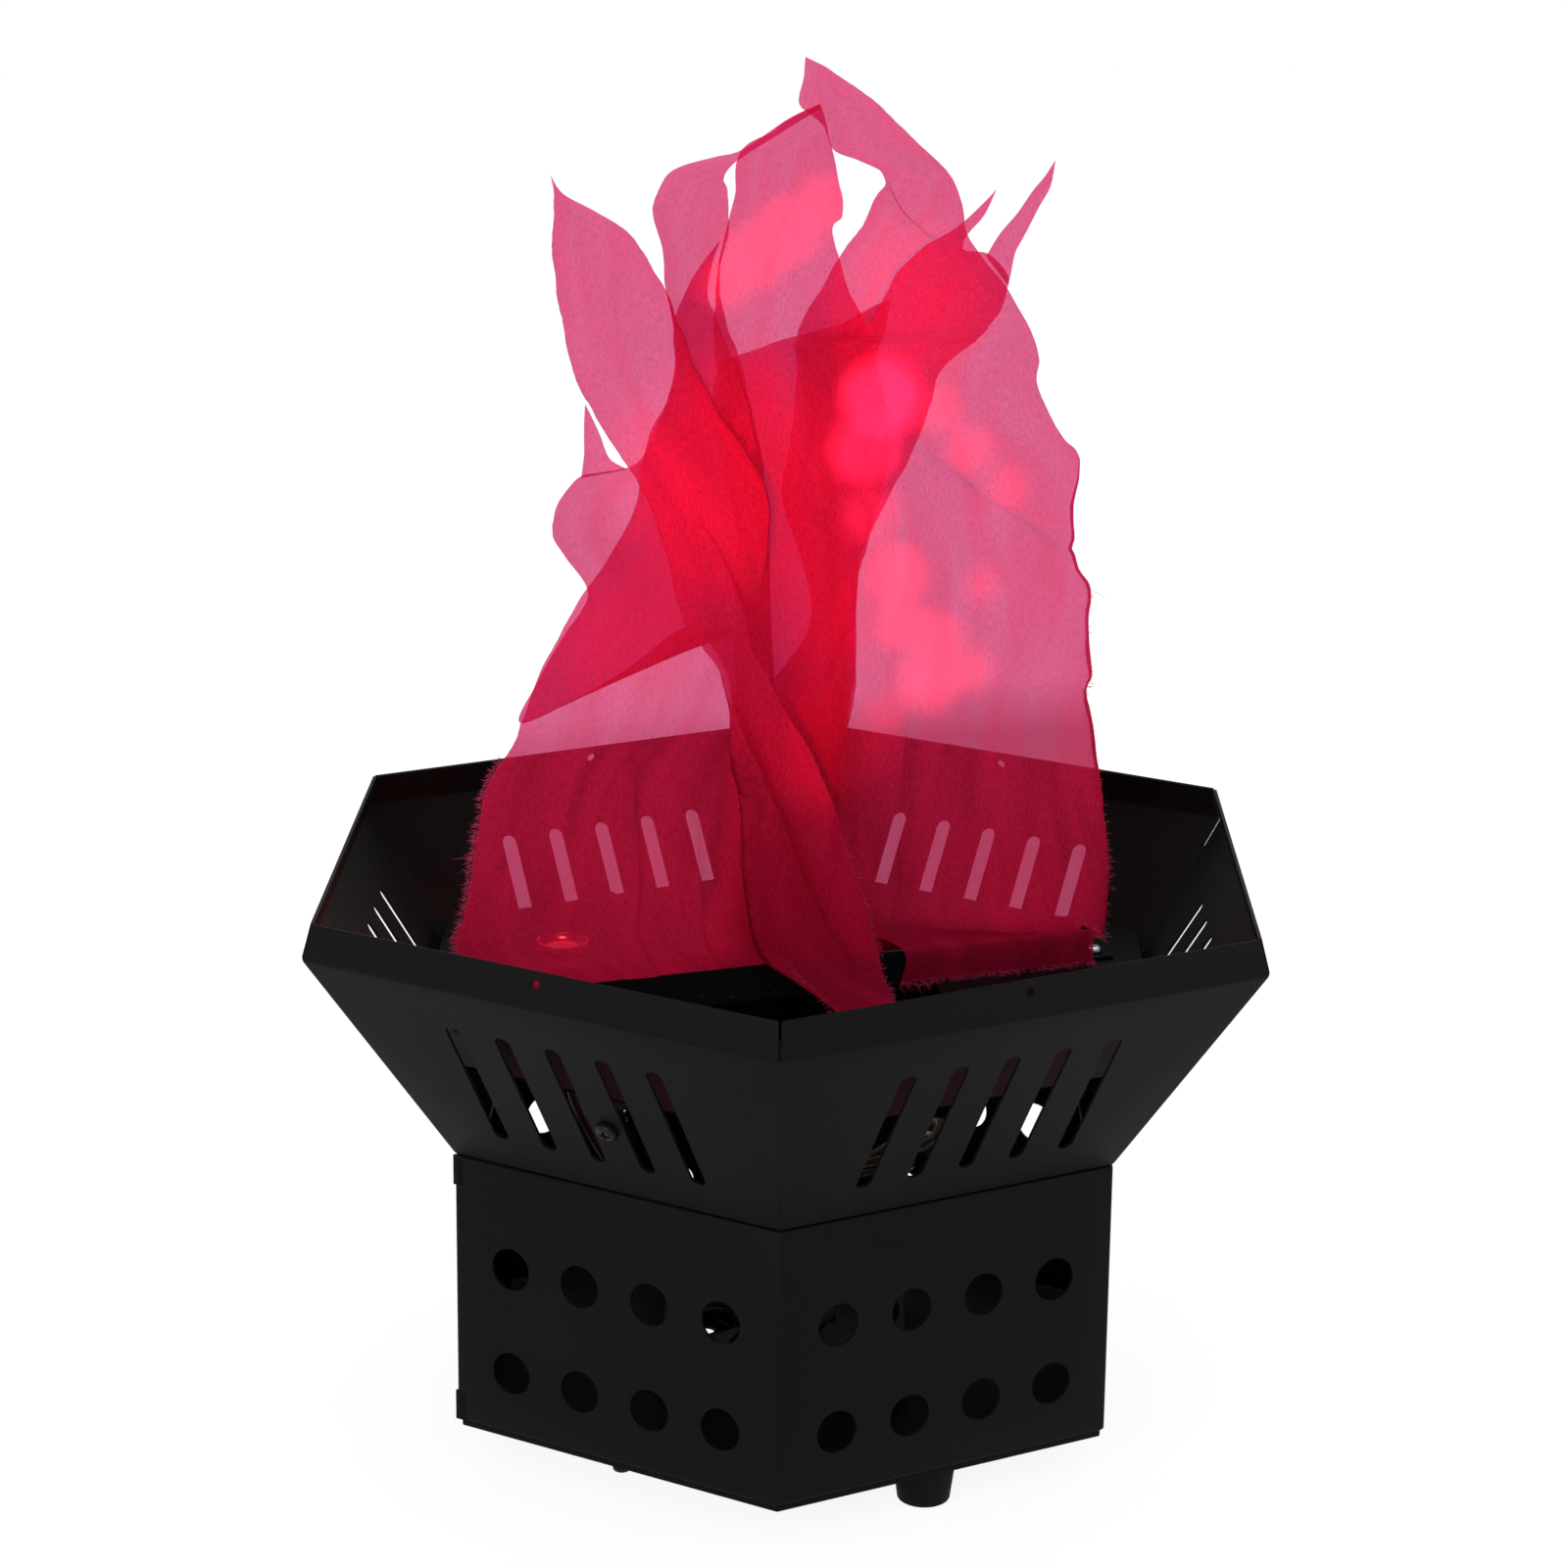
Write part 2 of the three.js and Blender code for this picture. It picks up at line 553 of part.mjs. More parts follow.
function buildCollar() {
  const frame = rectangle(COLLAR_LENGTH, COLLAR_WIDTH);
  frame.holes.push(rectangle(COLLAR_LENGTH - 2 * SHEET, COLLAR_WIDTH - 2 * SHEET));
  const foot = rectangle(COLLAR_FOOT_LENGTH + SHEET, COLLAR_FOOT_WIDTH);
  const footX = (COLLAR_LENGTH + COLLAR_FOOT_LENGTH - SHEET) / 2;
  let collar = solid(prism(frame, COLLAR_BOTTOM, COLLAR_TOP));
  for (const side of [1, -1]) {
    const plate = solid(prism(foot, COLLAR_BOTTOM, COLLAR_BOTTOM + SHEET).translate(side * footX, 0, 0));
    const bolt = prism(shankHole(M3), COLLAR_BOTTOM - OVERRUN, COLLAR_TOP + OVERRUN);
    const boltX = side * (COLLAR_LENGTH + COLLAR_FOOT_LENGTH) / 2;
    collar = collar.add(plate).subtract(solid(bolt.translate(boltX, 0, 0)));
  }
  return geometryOf(collar).applyMatrix4(aboutZ(COLLAR_ANGLE));
}

// Lamps: a lens in the deck, and under it a finned cup that holds the LED board

function buildLens() {
  const seat = DECK_TOP + FIT_GAP;
  const low = seat - LENS_BODY;
  const face = seat + LENS_FLANGE;
  return turned([
    [0, low], [LENS_TAIL_RADIUS, low], [LENS_BODY_RADIUS, seat - LENS_BODY * LENS_SKIRT_SHARE],
    [LENS_BODY_RADIUS, seat], [LENS_FLANGE_RADIUS, seat], [LENS_FLANGE_RADIUS, face],
    [LENS_BODY_RADIUS, face], [LENS_TAIL_RADIUS, face + LENS_DOME * LENS_SHOULDER_SHARE],
    [0, face + LENS_DOME],
  ], LENS_ROUND);
}

const BOARD_TOP = DECK_TOP + FIT_GAP - LENS_BODY - FIT_GAP;
const SINK_SEAT = BOARD_TOP - BOARD - FIT_GAP;
const SINK_BOTTOM = SINK_SEAT - SINK_FLOOR;

// One fin's corners: how far out on the fin, and how far round from this fin to the next
const finShares = [[0, 0], [1, 0.1], [1, 0.5], [0, 0.6]];

function buildSink() {
  const fins = new THREE.Shape();
  for (let n = 0; n < SINK_FINS; n += 1) {
    const step = 360 / SINK_FINS;
    finShares.forEach(([finShare, stepShare], index) => {
      const spot = polar(SINK_RADIUS - (1 - finShare) * SINK_FIN, (n + stepShare) * step);
      if (n === 0 && index === 0) fins.moveTo(spot.x, spot.y);
      else fins.lineTo(spot.x, spot.y);
    });
  }
  const body = solid(prism(fins, SINK_BOTTOM, DECK_BOTTOM - FIT_GAP));
  const well = solid(prism(roundShape(BOARD_RADIUS + FIT_GAP, LENS_ROUND), SINK_SEAT, DECK_TOP));
  const leadHole = roundShape(LEAD_HOLE_RADIUS, SMALL_ROUND);
  const lead = solid(prism(leadHole, SINK_BOTTOM - OVERRUN, SINK_SEAT + OVERRUN));
  return geometryOf(cutAll(body, [well, lead]));
}

function buildBoard() {
  return prism(roundShape(BOARD_RADIUS, LENS_ROUND), BOARD_TOP - BOARD, BOARD_TOP);
}

// Fan

function buildFanFrame() {
  const outline = roundedRectangle(FAN_SIZE, FAN_SIZE, FAN_CORNER);
  outline.holes.push(roundShape(FAN_DUCT_RADIUS, DUCT_ROUND));
  for (const [x, y] of fanCorners()) {
    const middle = new THREE.Vector2(x, y);
    const hole = roundShape(FAN_HOLE_RADIUS, SMALL_ROUND).getPoints();
    outline.holes.push(new THREE.Path(hole.map((p) => p.clone().add(middle))));
  }
  let frame = solid(prism(outline, FAN_BOTTOM, FAN_TOP));
  const strut = prism(rectangle(FAN_DUCT_RADIUS, FAN_STRUT_WIDTH), FAN_BOTTOM, FAN_BOTTOM + FAN_SPIDER);
  for (let n = 0; n < FAN_STRUTS; n += 1) {
    const turn = aboutZ((2 * Math.PI * (n + 0.5)) / FAN_STRUTS);
    frame = frame.add(solid(at(strut, turn, FAN_DUCT_RADIUS / 2 + SHEET)));
  }
  const spider = prism(roundShape(FAN_SPIDER_RADIUS), FAN_BOTTOM, FAN_BOTTOM + FAN_SPIDER);
  const tube = prism(roundShape(BEARING_RADIUS), FAN_BOTTOM, FAN_BOTTOM + FAN_SPIDER + BEARING_LENGTH);
  const bore = prism(roundShape(SHAFT_RADIUS + BEARING_PLAY), FAN_BOTTOM + SHEET, FAN_TOP + OVERRUN);
  return geometryOf(frame.add(solid(spider)).add(solid(tube)).subtract(solid(bore)));
}

const ROTOR_BOTTOM = FAN_BOTTOM + ROTOR_RISE;
const ROTOR_TOP = ROTOR_BOTTOM + HUB_HEIGHT;
const BLADE_TIP_RADIUS = FAN_DUCT_RADIUS - BLADE_TIP_GAP;

// One blade: a thin cambered plate between the hub and the tip, swept back and pitched
function bladeSolid(turn) {
  const across = BLADE_STEPS_ACROSS;
  const along = BLADE_STEPS_ALONG;
  const positions = [];
  for (const side of [1, -1]) {
    for (let i = 0; i <= along; i += 1) {
      const out = i / along;
      const radius = HUB_RADIUS - HUB_WALL / 2 + (BLADE_TIP_RADIUS - HUB_RADIUS + HUB_WALL / 2) * out;
      const span = BLADE_ROOT_SPAN + (BLADE_TIP_SPAN - BLADE_ROOT_SPAN) * out;
      for (let j = 0; j <= across; j += 1) {
        const chord = j / across - 0.5;
        const angle = turn + THREE.MathUtils.degToRad(chord * span + BLADE_SWEEP * out * out);
        const lift = chord * BLADE_HEIGHT + BLADE_CAMBER * (1 - 4 * chord * chord);
        const z = (ROTOR_BOTTOM + ROTOR_TOP) / 2 + lift + (side * BLADE_THICKNESS) / 2;
        positions.push(radius * Math.cos(angle), radius * Math.sin(angle), z);
      }
    }
  }
  return solid(closedSheet(positions, along + 1, across + 1));
}

// A closed body from two grids of points with the same rows and columns, top grid first
function closedSheet(positions, rows, columns) {
  const back = rows * columns;
  const spot = (i, j) => i * columns + j;
  const index = [];
  const quad = (a, b, c, d) => index.push(a, b, c, a, c, d);
  for (let i = 0; i < rows - 1; i += 1) {
    for (let j = 0; j < columns - 1; j += 1) {
      quad(spot(i, j), spot(i + 1, j), spot(i + 1, j + 1), spot(i, j + 1));
      quad(back + spot(i, j), back + spot(i, j + 1), back + spot(i + 1, j + 1), back + spot(i + 1, j));
    }
  }
  const rim = [];
  for (let i = 0; i < rows; i += 1) rim.push(spot(i, 0));
  for (let j = 1; j < columns; j += 1) rim.push(spot(rows - 1, j));
  for (let i = rows - 2; i >= 0; i -= 1) rim.push(spot(i, columns - 1));
  for (let j = columns - 2; j >= 1; j -= 1) rim.push(spot(0, j));
  rim.forEach((here, n) => {
    const next = rim[(n + 1) % rim.length];
    quad(here, back + here, back + next, next);
  });
  const geometry = new THREE.BufferGeometry();
  geometry.setAttribute('position', new THREE.Float32BufferAttribute(positions, 3));
  geometry.setIndex(index);
  return geometry;
}

function buildRotor() {
  const cup = turned([
    [HUB_RADIUS - HUB_WALL, ROTOR_BOTTOM], [HUB_RADIUS, ROTOR_BOTTOM], [HUB_RADIUS, ROTOR_TOP - HUB_WALL / 2],
    [HUB_RADIUS - HUB_WALL / 2, ROTOR_TOP], [SHAFT_RADIUS + FIT_GAP, ROTOR_TOP],
    [SHAFT_RADIUS + FIT_GAP, ROTOR_TOP - HUB_WALL], [HUB_RADIUS - HUB_WALL, ROTOR_TOP - HUB_WALL],
    [HUB_RADIUS - HUB_WALL, ROTOR_BOTTOM],
  ], DUCT_ROUND / 2);
  const bodies = [solid(cup)];
  for (let n = 0; n < BLADE_COUNT; n += 1) bodies.push(bladeSolid((2 * Math.PI * n) / BLADE_COUNT));
  return geometryOf(joinAll(bodies));
}

function buildShaft() {
  return prism(roundShape(SHAFT_RADIUS), FAN_BOTTOM + SHEET + FIT_GAP, ROTOR_TOP);
}

// Driver, inlet and leads

const DRIVER_Y = FAN_SIZE / 2 + DRIVER_FAN_GAP + DRIVER_WIDTH / 2;
const DRIVER_TOP = FAN_BOTTOM + DRIVER_HEIGHT;

function buildDriver() {
  const shape = roundedRectangle(DRIVER_LENGTH, DRIVER_WIDTH, DRIVER_CORNER);
  return prism(shape, FAN_BOTTOM, DRIVER_TOP).translate(0, DRIVER_Y, 0);
}

function buildInlet() {
  const face = FIT_GAP + INLET_FLANGE;
  const floor = face - INLET_SOCKET_DEPTH;
  const pinTop = face - INLET_FLANGE;
  return at(turned([
    [0, FIT_GAP - INLET_LENGTH], [INLET_RADIUS, FIT_GAP - INLET_LENGTH], [INLET_RADIUS, FIT_GAP],
    [INLET_FLANGE_RADIUS, FIT_GAP], [INLET_FLANGE_RADIUS, face], [INLET_SOCKET_RADIUS, face],
    [INLET_SOCKET_RADIUS, floor], [INLET_PIN_RADIUS, floor], [INLET_PIN_RADIUS, pinTop], [0, pinTop],
  ]), boxPanel(INLET_PANEL), 0, INLET_RISE);
}

function buildInletNut() {
  const shape = polygonShape(INLET_FLANGE_RADIUS + SHEET, NUT_SIDES, 0);
  shape.holes.push(roundShape(INLET_RADIUS + FIT_GAP));
  const top = -SHEET - FIT_GAP;
  return at(prism(shape, top - INLET_NUT, top), boxPanel(INLET_PANEL), 0, INLET_RISE);
}

// A lead of round section along a smooth curve through its points
function buildLead(points) {
  const curve = new THREE.CatmullRomCurve3(points);
  const steps = Math.max(LEAD_LEAST_STEPS, Math.round(curve.getLength() / LEAD_STEP));
  const section = roundShape(LEAD_RADIUS, LEAD_ROUND);
  return new THREE.ExtrudeGeometry(section, { steps, bevelEnabled: false, extrudePath: curve });
}

// A lead's first two points: on the face that it comes out of, and straight out from there
function port(face, direction, run = LEAD_RUN) {
  const start = face.clone().addScaledVector(direction, FIT_GAP);
  return [start, start.clone().addScaledVector(direction, run)];
}

const driverPoint = (lengthShare, widthShare, heightShare) => new THREE.Vector3(
  lengthShare * DRIVER_LENGTH, DRIVER_Y + widthShare * DRIVER_WIDTH,
  FAN_BOTTOM + heightShare * DRIVER_HEIGHT);

// Points on a lead's way, as shares of the box's apothem across and of the height up to the deck
const wayShares = {
  lamp_lead_1: [[-0.714, 0.444, 0.576], [-0.598, 0.56, 0.339], [-0.444, 0.666, 0.132]],
  lamp_lead_2: [[0.733, 0.454, 0.576], [0.676, 0.56, 0.339], [0.463, 0.608, 0.132]],
  lamp_lead_3: [[0.116, -0.637, 0.703], [0.425, -0.193, 0.64], [0.483, 0.232, 0.577], [0.29, 0.54, 0.386]],
  inlet_lead: [[0.251, 0.637, 0.291]],
};

const wayPoints = (name) => wayShares[name].map(([x, y, z]) => new THREE.Vector3(
  x * BOX_APOTHEM, y * BOX_APOTHEM, FAN_BOTTOM + z * (DECK_BOTTOM - FAN_BOTTOM)));

// From each lamp, the fan and the inlet to the driver
function leadRoutes() {
  const right = new THREE.Vector3(1, 0, 0);
  const back = new THREE.Vector3(0, 1, 0);
  const up = new THREE.Vector3(0, 0, 1);
  const [left, front, down] = [right, back, up].map((way) => way.clone().negate());
  const underLamps = lampSpots().map(({ x, y }) => port(new THREE.Vector3(x, y, SINK_BOTTOM), down));
  const fanExit = driverPoint(FAN_LEAD_SHARE, 0, 0).setY(FAN_SIZE / 2).setZ(FAN_BOTTOM + FAN_DEPTH / 2);
  const fanEntry = driverPoint(FAN_LEAD_SHARE, -1 / 2, 1 / 2);
  const inletFrame = boxPanel(INLET_PANEL);
  const inletBack = new THREE.Vector3(0, INLET_RISE, FIT_GAP - INLET_LENGTH).applyMatrix4(inletFrame);
  const inward = new THREE.Vector3(0, 0, -1).transformDirection(inletFrame);
  const ends = {
    lamp_lead_1: [underLamps[0], port(driverPoint(-1 / 2, 0, 1 / 2), left)],
    lamp_lead_2: [underLamps[1], port(driverPoint(1 / 2, -LEAD_SIDE_SHARE, 1 / 2), right)],
    lamp_lead_3: [underLamps[2], port(driverPoint(LEAD_SIDE_SHARE, 0, 1), up)],
    inlet_lead: [port(inletBack, inward), port(driverPoint(2 * LEAD_SIDE_SHARE, LEAD_SIDE_SHARE, 1), up)],
  };
  const routes = {};
  for (const [name, [start, end]] of Object.entries(ends)) {
    routes[name] = [...start, ...wayPoints(name), ...end.reverse()];
  }
  const shortRun = DRIVER_FAN_GAP / 3;
  routes.fan_lead = [...port(fanExit, back, shortRun), ...port(fanEntry, front, shortRun).reverse()];
  return routes;
}

// Silk leaves. Each is one sheet between a left and a right edge. It starts as a hem flat on a
// collar wall, between two shares of the collar's half length, and rises through rows of
// [span, depth, rise] shares for its left edge and its right edge, up to its tip.

const wallOffsets = {
  nearFront: COLLAR_WIDTH / 2 + FIT_GAP + SILK / 2,
  nearInside: COLLAR_WIDTH / 2 - SHEET - FIT_GAP - SILK / 2,
  farInside: -(COLLAR_WIDTH / 2 - SHEET - FIT_GAP - SILK / 2),
  farBack: -(COLLAR_WIDTH / 2 + FIT_GAP + SILK / 2),
};

const leaves = {
  silk_right: {
    wall: 'nearFront', hemShares: [0.35, 0.985], foldShare: 1.2, waves: 2,
    edgeShares: [
      [0.176, 0.225, 0.076, 0.943, 0.9, 0.052], [0.126, 0.325, 0.186, 0.923, 0.95, 0.167],
      [0.105, 0.375, 0.298, 0.864, 0.95, 0.282], [0.102, 0.45, 0.385, 0.863, 0.9, 0.386],
      [0.11, 0.5, 0.467, 0.809, 0.85, 0.455], [0.121, 0.55, 0.549, 0.82, 0.8, 0.552],
      [0.132, 0.6, 0.624, 0.698, 0.75, 0.629], [0.123, 0.65, 0.699, 0.677, 0.75, 0.684],
      [0.121, 0.7, 0.772, 0.572, 0.75, 0.754], [0.18, 0.7, 0.808, 0.471, 0.75, 0.815],
      [0.233, 0.7, 0.862, 0.419, 0.75, 0.86], [0.136, 0.7, 0.886, 0.3, 0.7, 0.908],
      [0.071, 0.7, 0.912, 0.174, 0.7, 0.946],
    ],
    tipShares: [0.019, 0.7, 0.988],
  },
  silk_left: {
    wall: 'nearInside', hemShares: [-0.98, -0.08], foldShare: 1, waves: 2,
    edgeShares: [
      [-0.926, -1.175, 0.049, -0.042, -0.2, 0.036], [-0.861, -1.05, 0.168, -0.031, -0.15, 0.136],
      [-0.795, -0.9, 0.256, -0.048, -0.1, 0.225], [-0.69, -0.7, 0.353, -0.065, -0.05, 0.312],
      [-0.554, -0.5, 0.439, -0.073, 0, 0.399], [-0.451, -0.3, 0.505, -0.075, 0.05, 0.485],
      [-0.419, -0.15, 0.581, -0.105, 0.1, 0.568], [-0.35, 0, 0.641, -0.152, 0.15, 0.645],
      [-0.336, 0.1, 0.693, -0.214, 0.2, 0.702], [-0.318, 0.15, 0.74, -0.234, 0.2, 0.74],
    ],
    tipShares: [-0.216, 0.225, 0.792],
  },
  silk_front_left: {
    wall: 'nearFront', hemShares: [-0.087, 0.325], foldShare: 1, waves: 1.5,
    edgeShares: [
      [-0.112, -0.35, 0.043, 0.215, -0.15, 0.036], [-0.14, -0.55, 0.141, 0.147, -0.4, 0.136],
      [-0.163, -0.65, 0.236, 0.083, -0.6, 0.236], [-0.178, -0.65, 0.322, -0.033, -0.65, 0.323],
      [-0.282, -0.55, 0.394, -0.071, -0.55, 0.379], [-0.406, -0.5, 0.446, -0.065, -0.4, 0.445],
      [-0.448, -0.5, 0.5, -0.074, -0.3, 0.532], [-0.483, -0.5, 0.575, -0.146, -0.25, 0.58],
      [-0.578, -0.5, 0.638, -0.244, -0.2, 0.643], [-0.63, -0.45, 0.72, -0.332, -0.15, 0.72],
      [-0.668, -0.4, 0.792, -0.428, -0.15, 0.79], [-0.675, -0.3, 0.837, -0.574, -0.25, 0.835],
    ],
    tipShares: [-0.672, -0.3, 0.873],
  },
  silk_front_right: {
    wall: 'nearInside', hemShares: [-0.04, 0.29], foldShare: 1, waves: 1.5,
    edgeShares: [
      [-0.102, 0.05, 0.082, 0.125, 0.15, 0.079], [-0.133, 0.1, 0.194, 0.121, 0.2, 0.191],
      [-0.094, 0.15, 0.282, 0.168, 0.15, 0.284], [-0.053, 0.15, 0.361, 0.181, 0.1, 0.375],
      [-0.041, 0.15, 0.439, 0.184, 0.05, 0.46], [-0.043, 0.15, 0.51, 0.262, 0.05, 0.515],
      [-0.015, 0.15, 0.581, 0.341, 0.05, 0.58], [0, 0.15, 0.646, 0.388, 0.05, 0.64],
      [0.061, 0.15, 0.694, 0.486, 0.1, 0.69], [0.224, 0.15, 0.743, 0.573, 0.15, 0.722],
      [0.359, 0.2, 0.783, 0.59, 0.2, 0.76], [0.508, 0.2, 0.795, 0.622, 0.2, 0.808],
      [0.599, 0.2, 0.831, 0.668, 0.2, 0.847],
    ],
    tipShares: [0.711, 0.2, 0.889],
  },
  silk_rear_left: {
    wall: 'farBack', hemShares: [-0.19, -0.03], foldShare: 0.8, waves: 1.5,
    edgeShares: [
      [-0.167, 0.25, 0.073, -0.047, 0.35, 0.069], [-0.169, 0.3, 0.186, -0.05, 0.375, 0.183],
      [-0.178, 0.35, 0.292, -0.053, 0.4, 0.296], [-0.395, 0.15, 0.339, -0.061, 0.45, 0.351],
      [-0.762, -0.25, 0.273, -0.068, 0.475, 0.388], [-0.649, -0.15, 0.368, -0.074, 0.5, 0.41],
      [-0.581, -0.075, 0.414, -0.077, 0.525, 0.418], [-0.684, 0.075, 0.474, -0.093, 0.55, 0.461],
      [-0.662, 0.2, 0.513, -0.117, 0.575, 0.508], [-0.589, 0.325, 0.558, -0.135, 0.6, 0.544],
      [-0.476, 0.375, 0.543, -0.146, 0.625, 0.565], [-0.402, 0.425, 0.582, -0.167, 0.675, 0.594],
      [-0.349, 0.45, 0.642, -0.188, 0.7, 0.637], [-0.373, 0.475, 0.74, -0.231, 0.7, 0.723],
      [-0.407, 0.525, 0.815, -0.221, 0.7, 0.77], [-0.37, 0.575, 0.86, -0.195, 0.7, 0.845],
      [-0.236, 0.625, 0.88, -0.192, 0.7, 0.868], [-0.162, 0.65, 0.887, -0.159, 0.688, 0.879],
      [-0.036, 0.625, 0.921, -0.028, 0.637, 0.913],
    ],
    tipShares: [0.054, 0.58, 0.937],
  },
  silk_back: {
    wall: 'farBack', hemShares: [0.01, 0.29], foldShare: 0.6, waves: 1,
    edgeShares: [
      [-0.157, 0.475, 0.063, 0.09, 0.55, 0.062], [-0.16, 0.5, 0.178, 0.077, 0.575, 0.176],
      [-0.168, 0.55, 0.29, 0.054, 0.6, 0.29], [-0.165, 0.6, 0.401, 0.021, 0.65, 0.401],
      [-0.179, 0.675, 0.488, 0.01, 0.7, 0.489], [-0.218, 0.75, 0.564, 0.106, 0.775, 0.554],
      [-0.239, 0.787, 0.618, 0.189, 0.812, 0.608], [-0.212, 0.8, 0.653, 0.242, 0.825, 0.68],
      [-0.039, 0.812, 0.675, 0.257, 0.825, 0.702],
    ],
    tipShares: [0.259, 0.825, 0.724],
  },
  silk_centre: {
    wall: 'farInside', hemShares: [-0.29, 0.385], foldShare: 0.8, waves: 1,
    edgeShares: [
      [-0.203, 0.15, 0.1, 0.138, 0.24, 0.094], [-0.178, 0.22, 0.233, 0.142, 0.26, 0.231],
      [-0.161, 0.26, 0.344, 0.148, 0.29, 0.355], [-0.169, 0.3, 0.454, 0.161, 0.31, 0.472],
      [-0.194, 0.36, 0.551, 0.19, 0.36, 0.575], [-0.221, 0.42, 0.637, 0.214, 0.38, 0.662],
      [-0.234, 0.45, 0.707, 0.184, 0.45, 0.71], [-0.229, 0.45, 0.75, 0.132, 0.45, 0.768],
      [-0.194, 0.45, 0.82, 0.124, 0.45, 0.827], [-0.16, 0.45, 0.887, 0.089, 0.45, 0.894],
      [-0.056, 0.45, 0.91, 0.072, 0.45, 0.921],
    ],
    tipShares: [0.055, 0.45, 0.935],
  },
};

const ACROSS_STEPS = 5;
const ROW_STEPS = 2;
// How far the folds turn from one row of the table to the next
const FOLD_TURN = 1 / 3;

// A smooth curve through points, at a place counted in points from the first one
function through(points, where) {
  const last = points.length - 1;
  const i = Math.min(Math.floor(where), last - 1);
  const t = where - i;
  const [a, b, c, d] = [i - 1, i, i + 1, i + 2].map((n) => points[Math.max(0, Math.min(last, n))]);
  const bend = (p, q, r, s) => 0.5 * (2 * q + (r - p) * t + (2 * p - 5 * q + 4 * r - s) * t * t
    + (3 * q - p - 3 * r + s) * t * t * t);
  const mix = (axis) => bend(a[axis], b[axis], c[axis], d[axis]);
  return new THREE.Vector3(mix('x'), mix('y'), mix('z'));
}

function hemPoint(share, offset, z) {
  const s = (share * COLLAR_LENGTH) / 2;
  const x = s * Math.cos(COLLAR_ANGLE) + offset * Math.sin(COLLAR_ANGLE);
  const y = s * Math.sin(COLLAR_ANGLE) - offset * Math.cos(COLLAR_ANGLE);
  return new THREE.Vector3(x, y, z);
}

const sharePoint = ([span, depth, rise]) =>
  new THREE.Vector3(span * SILK_SPAN, depth * SILK_DEPTH, COLLAR_TOP + rise * SILK_RISE);

function buildLeaf({ wall, hemShares, foldShare, waves, edgeShares, tipShares }) {
  const offset = wallOffsets[wall];
  const start = hemShares.map((share) => hemPoint(share, offset, COLLAR_TOP + SILK_OVER_WALL));
  const tip = sharePoint(tipShares);
  const half = new THREE.Vector3(SILK_TIP / 2, 0, 0);
  const left = [start[0], ...edgeShares.map((row) => sharePoint(row.slice(0, 3))), tip.clone().sub(half)];
  const right = [start[1], ...edgeShares.map((row) => sharePoint(row.slice(3))), tip.clone().add(half)];
  const rowCount = (left.length - 1) * ROW_STEPS;
  const rows = [hemShares.map((share) => hemPoint(share, offset, COLLAR_TOP - SILK_HEM))];
  for (let n = 0; n <= rowCount; n += 1) {
    rows.push([through(left, n / ROW_STEPS), through(right, n / ROW_STEPS)]);
  }
  const grid = rows.map(([l, r], n) => {
    const swell = Math.sin((Math.PI * Math.max(0, n - 1)) / rowCount);
    return Array.from({ length: ACROSS_STEPS + 1 }, (_, j) => {
      const across = j / ACROSS_STEPS;
      const point = l.clone().lerp(r, across);
      const bulge = 4 * across * (1 - across);
      const fold = Math.sin(Math.PI * waves * across + (n / ROW_STEPS) * FOLD_TURN) * bulge;
      point.y += SILK_FOLD * foldShare * swell * fold;
      return point;
    });
  });
  return closedSheet(thickened(grid), grid.length, ACROSS_STEPS + 1);
}

// Both faces of a sheet, half its thickness to each side of a grid of points
function thickened(grid) {
  const rows = grid.length;
  const columns = grid[0].length;
  const clamp = (value, top) => Math.max(0, Math.min(top, value));
  const faces = [[], []];
  for (let i = 0; i < rows; i += 1) {
    for (let j = 0; j < columns; j += 1) {
      const up = grid[clamp(i + 1, rows - 1)][j].clone().sub(grid[clamp(i - 1, rows - 1)][j]);
      const across = grid[i][clamp(j + 1, columns - 1)].clone().sub(grid[i][clamp(j - 1, columns - 1)]);
      const normal = up.cross(across).normalize().multiplyScalar(SILK / 2);
      const point = grid[i][j];
      faces[0].push(point.x + normal.x, point.y + normal.y, point.z + normal.z);
      faces[1].push(point.x - normal.x, point.y - normal.y, point.z - normal.z);
    }
  }
  return [...faces[0], ...faces[1]];
}

// The assembly, from the feet up

add(buildBox(), 'base_box', BLACK_STEEL);
add(buildPlate(), 'bottom_plate', BLACK_STEEL);
FOOT_ANGLES.forEach((degrees, n) => {
  const spot = polar(FOOT_CIRCLE_RADIUS, degrees);
  add(buildFoot().translate(spot.x, spot.y, 0), `foot_${n + 1}`, BLACK_RUBBER);
  const screw = panScrew(M4, footScrewLength()).rotateX(Math.PI);
  add(screw.translate(spot.x, spot.y, FOOT_WELL_DEPTH - FIT_GAP), `foot_screw_${n + 1}`, DARK_SCREW);
  add(hexNut(M4).translate(spot.x, spot.y, PLATE_TOP + FIT_GAP), `foot_nut_${n + 1}`, BRIGHT_STEEL);
});
TAB_PANELS.forEach((k, n) => {
  const spot = polar(BOX_SCREW_APOTHEM, panelDegrees(k));
  const plateScrew = panScrew(M3, SHEET_SCREW_LENGTH).rotateX(Math.PI);
  const head = PLATE_BOTTOM - PLATE_HEM_DROP - FIT_GAP;
  add(plateScrew.translate(spot.x, spot.y, head), `plate_screw_${n + 1}`, DARK_SCREW);
  const traySeat = TRAY_BOTTOM + SHEET + FIT_GAP;
  const trayScrew = panScrew(M3, SHEET_SCREW_LENGTH);
  add(trayScrew.translate(spot.x, spot.y, traySeat), `tray_screw_${n + 1}`, DARK_SCREW);
});

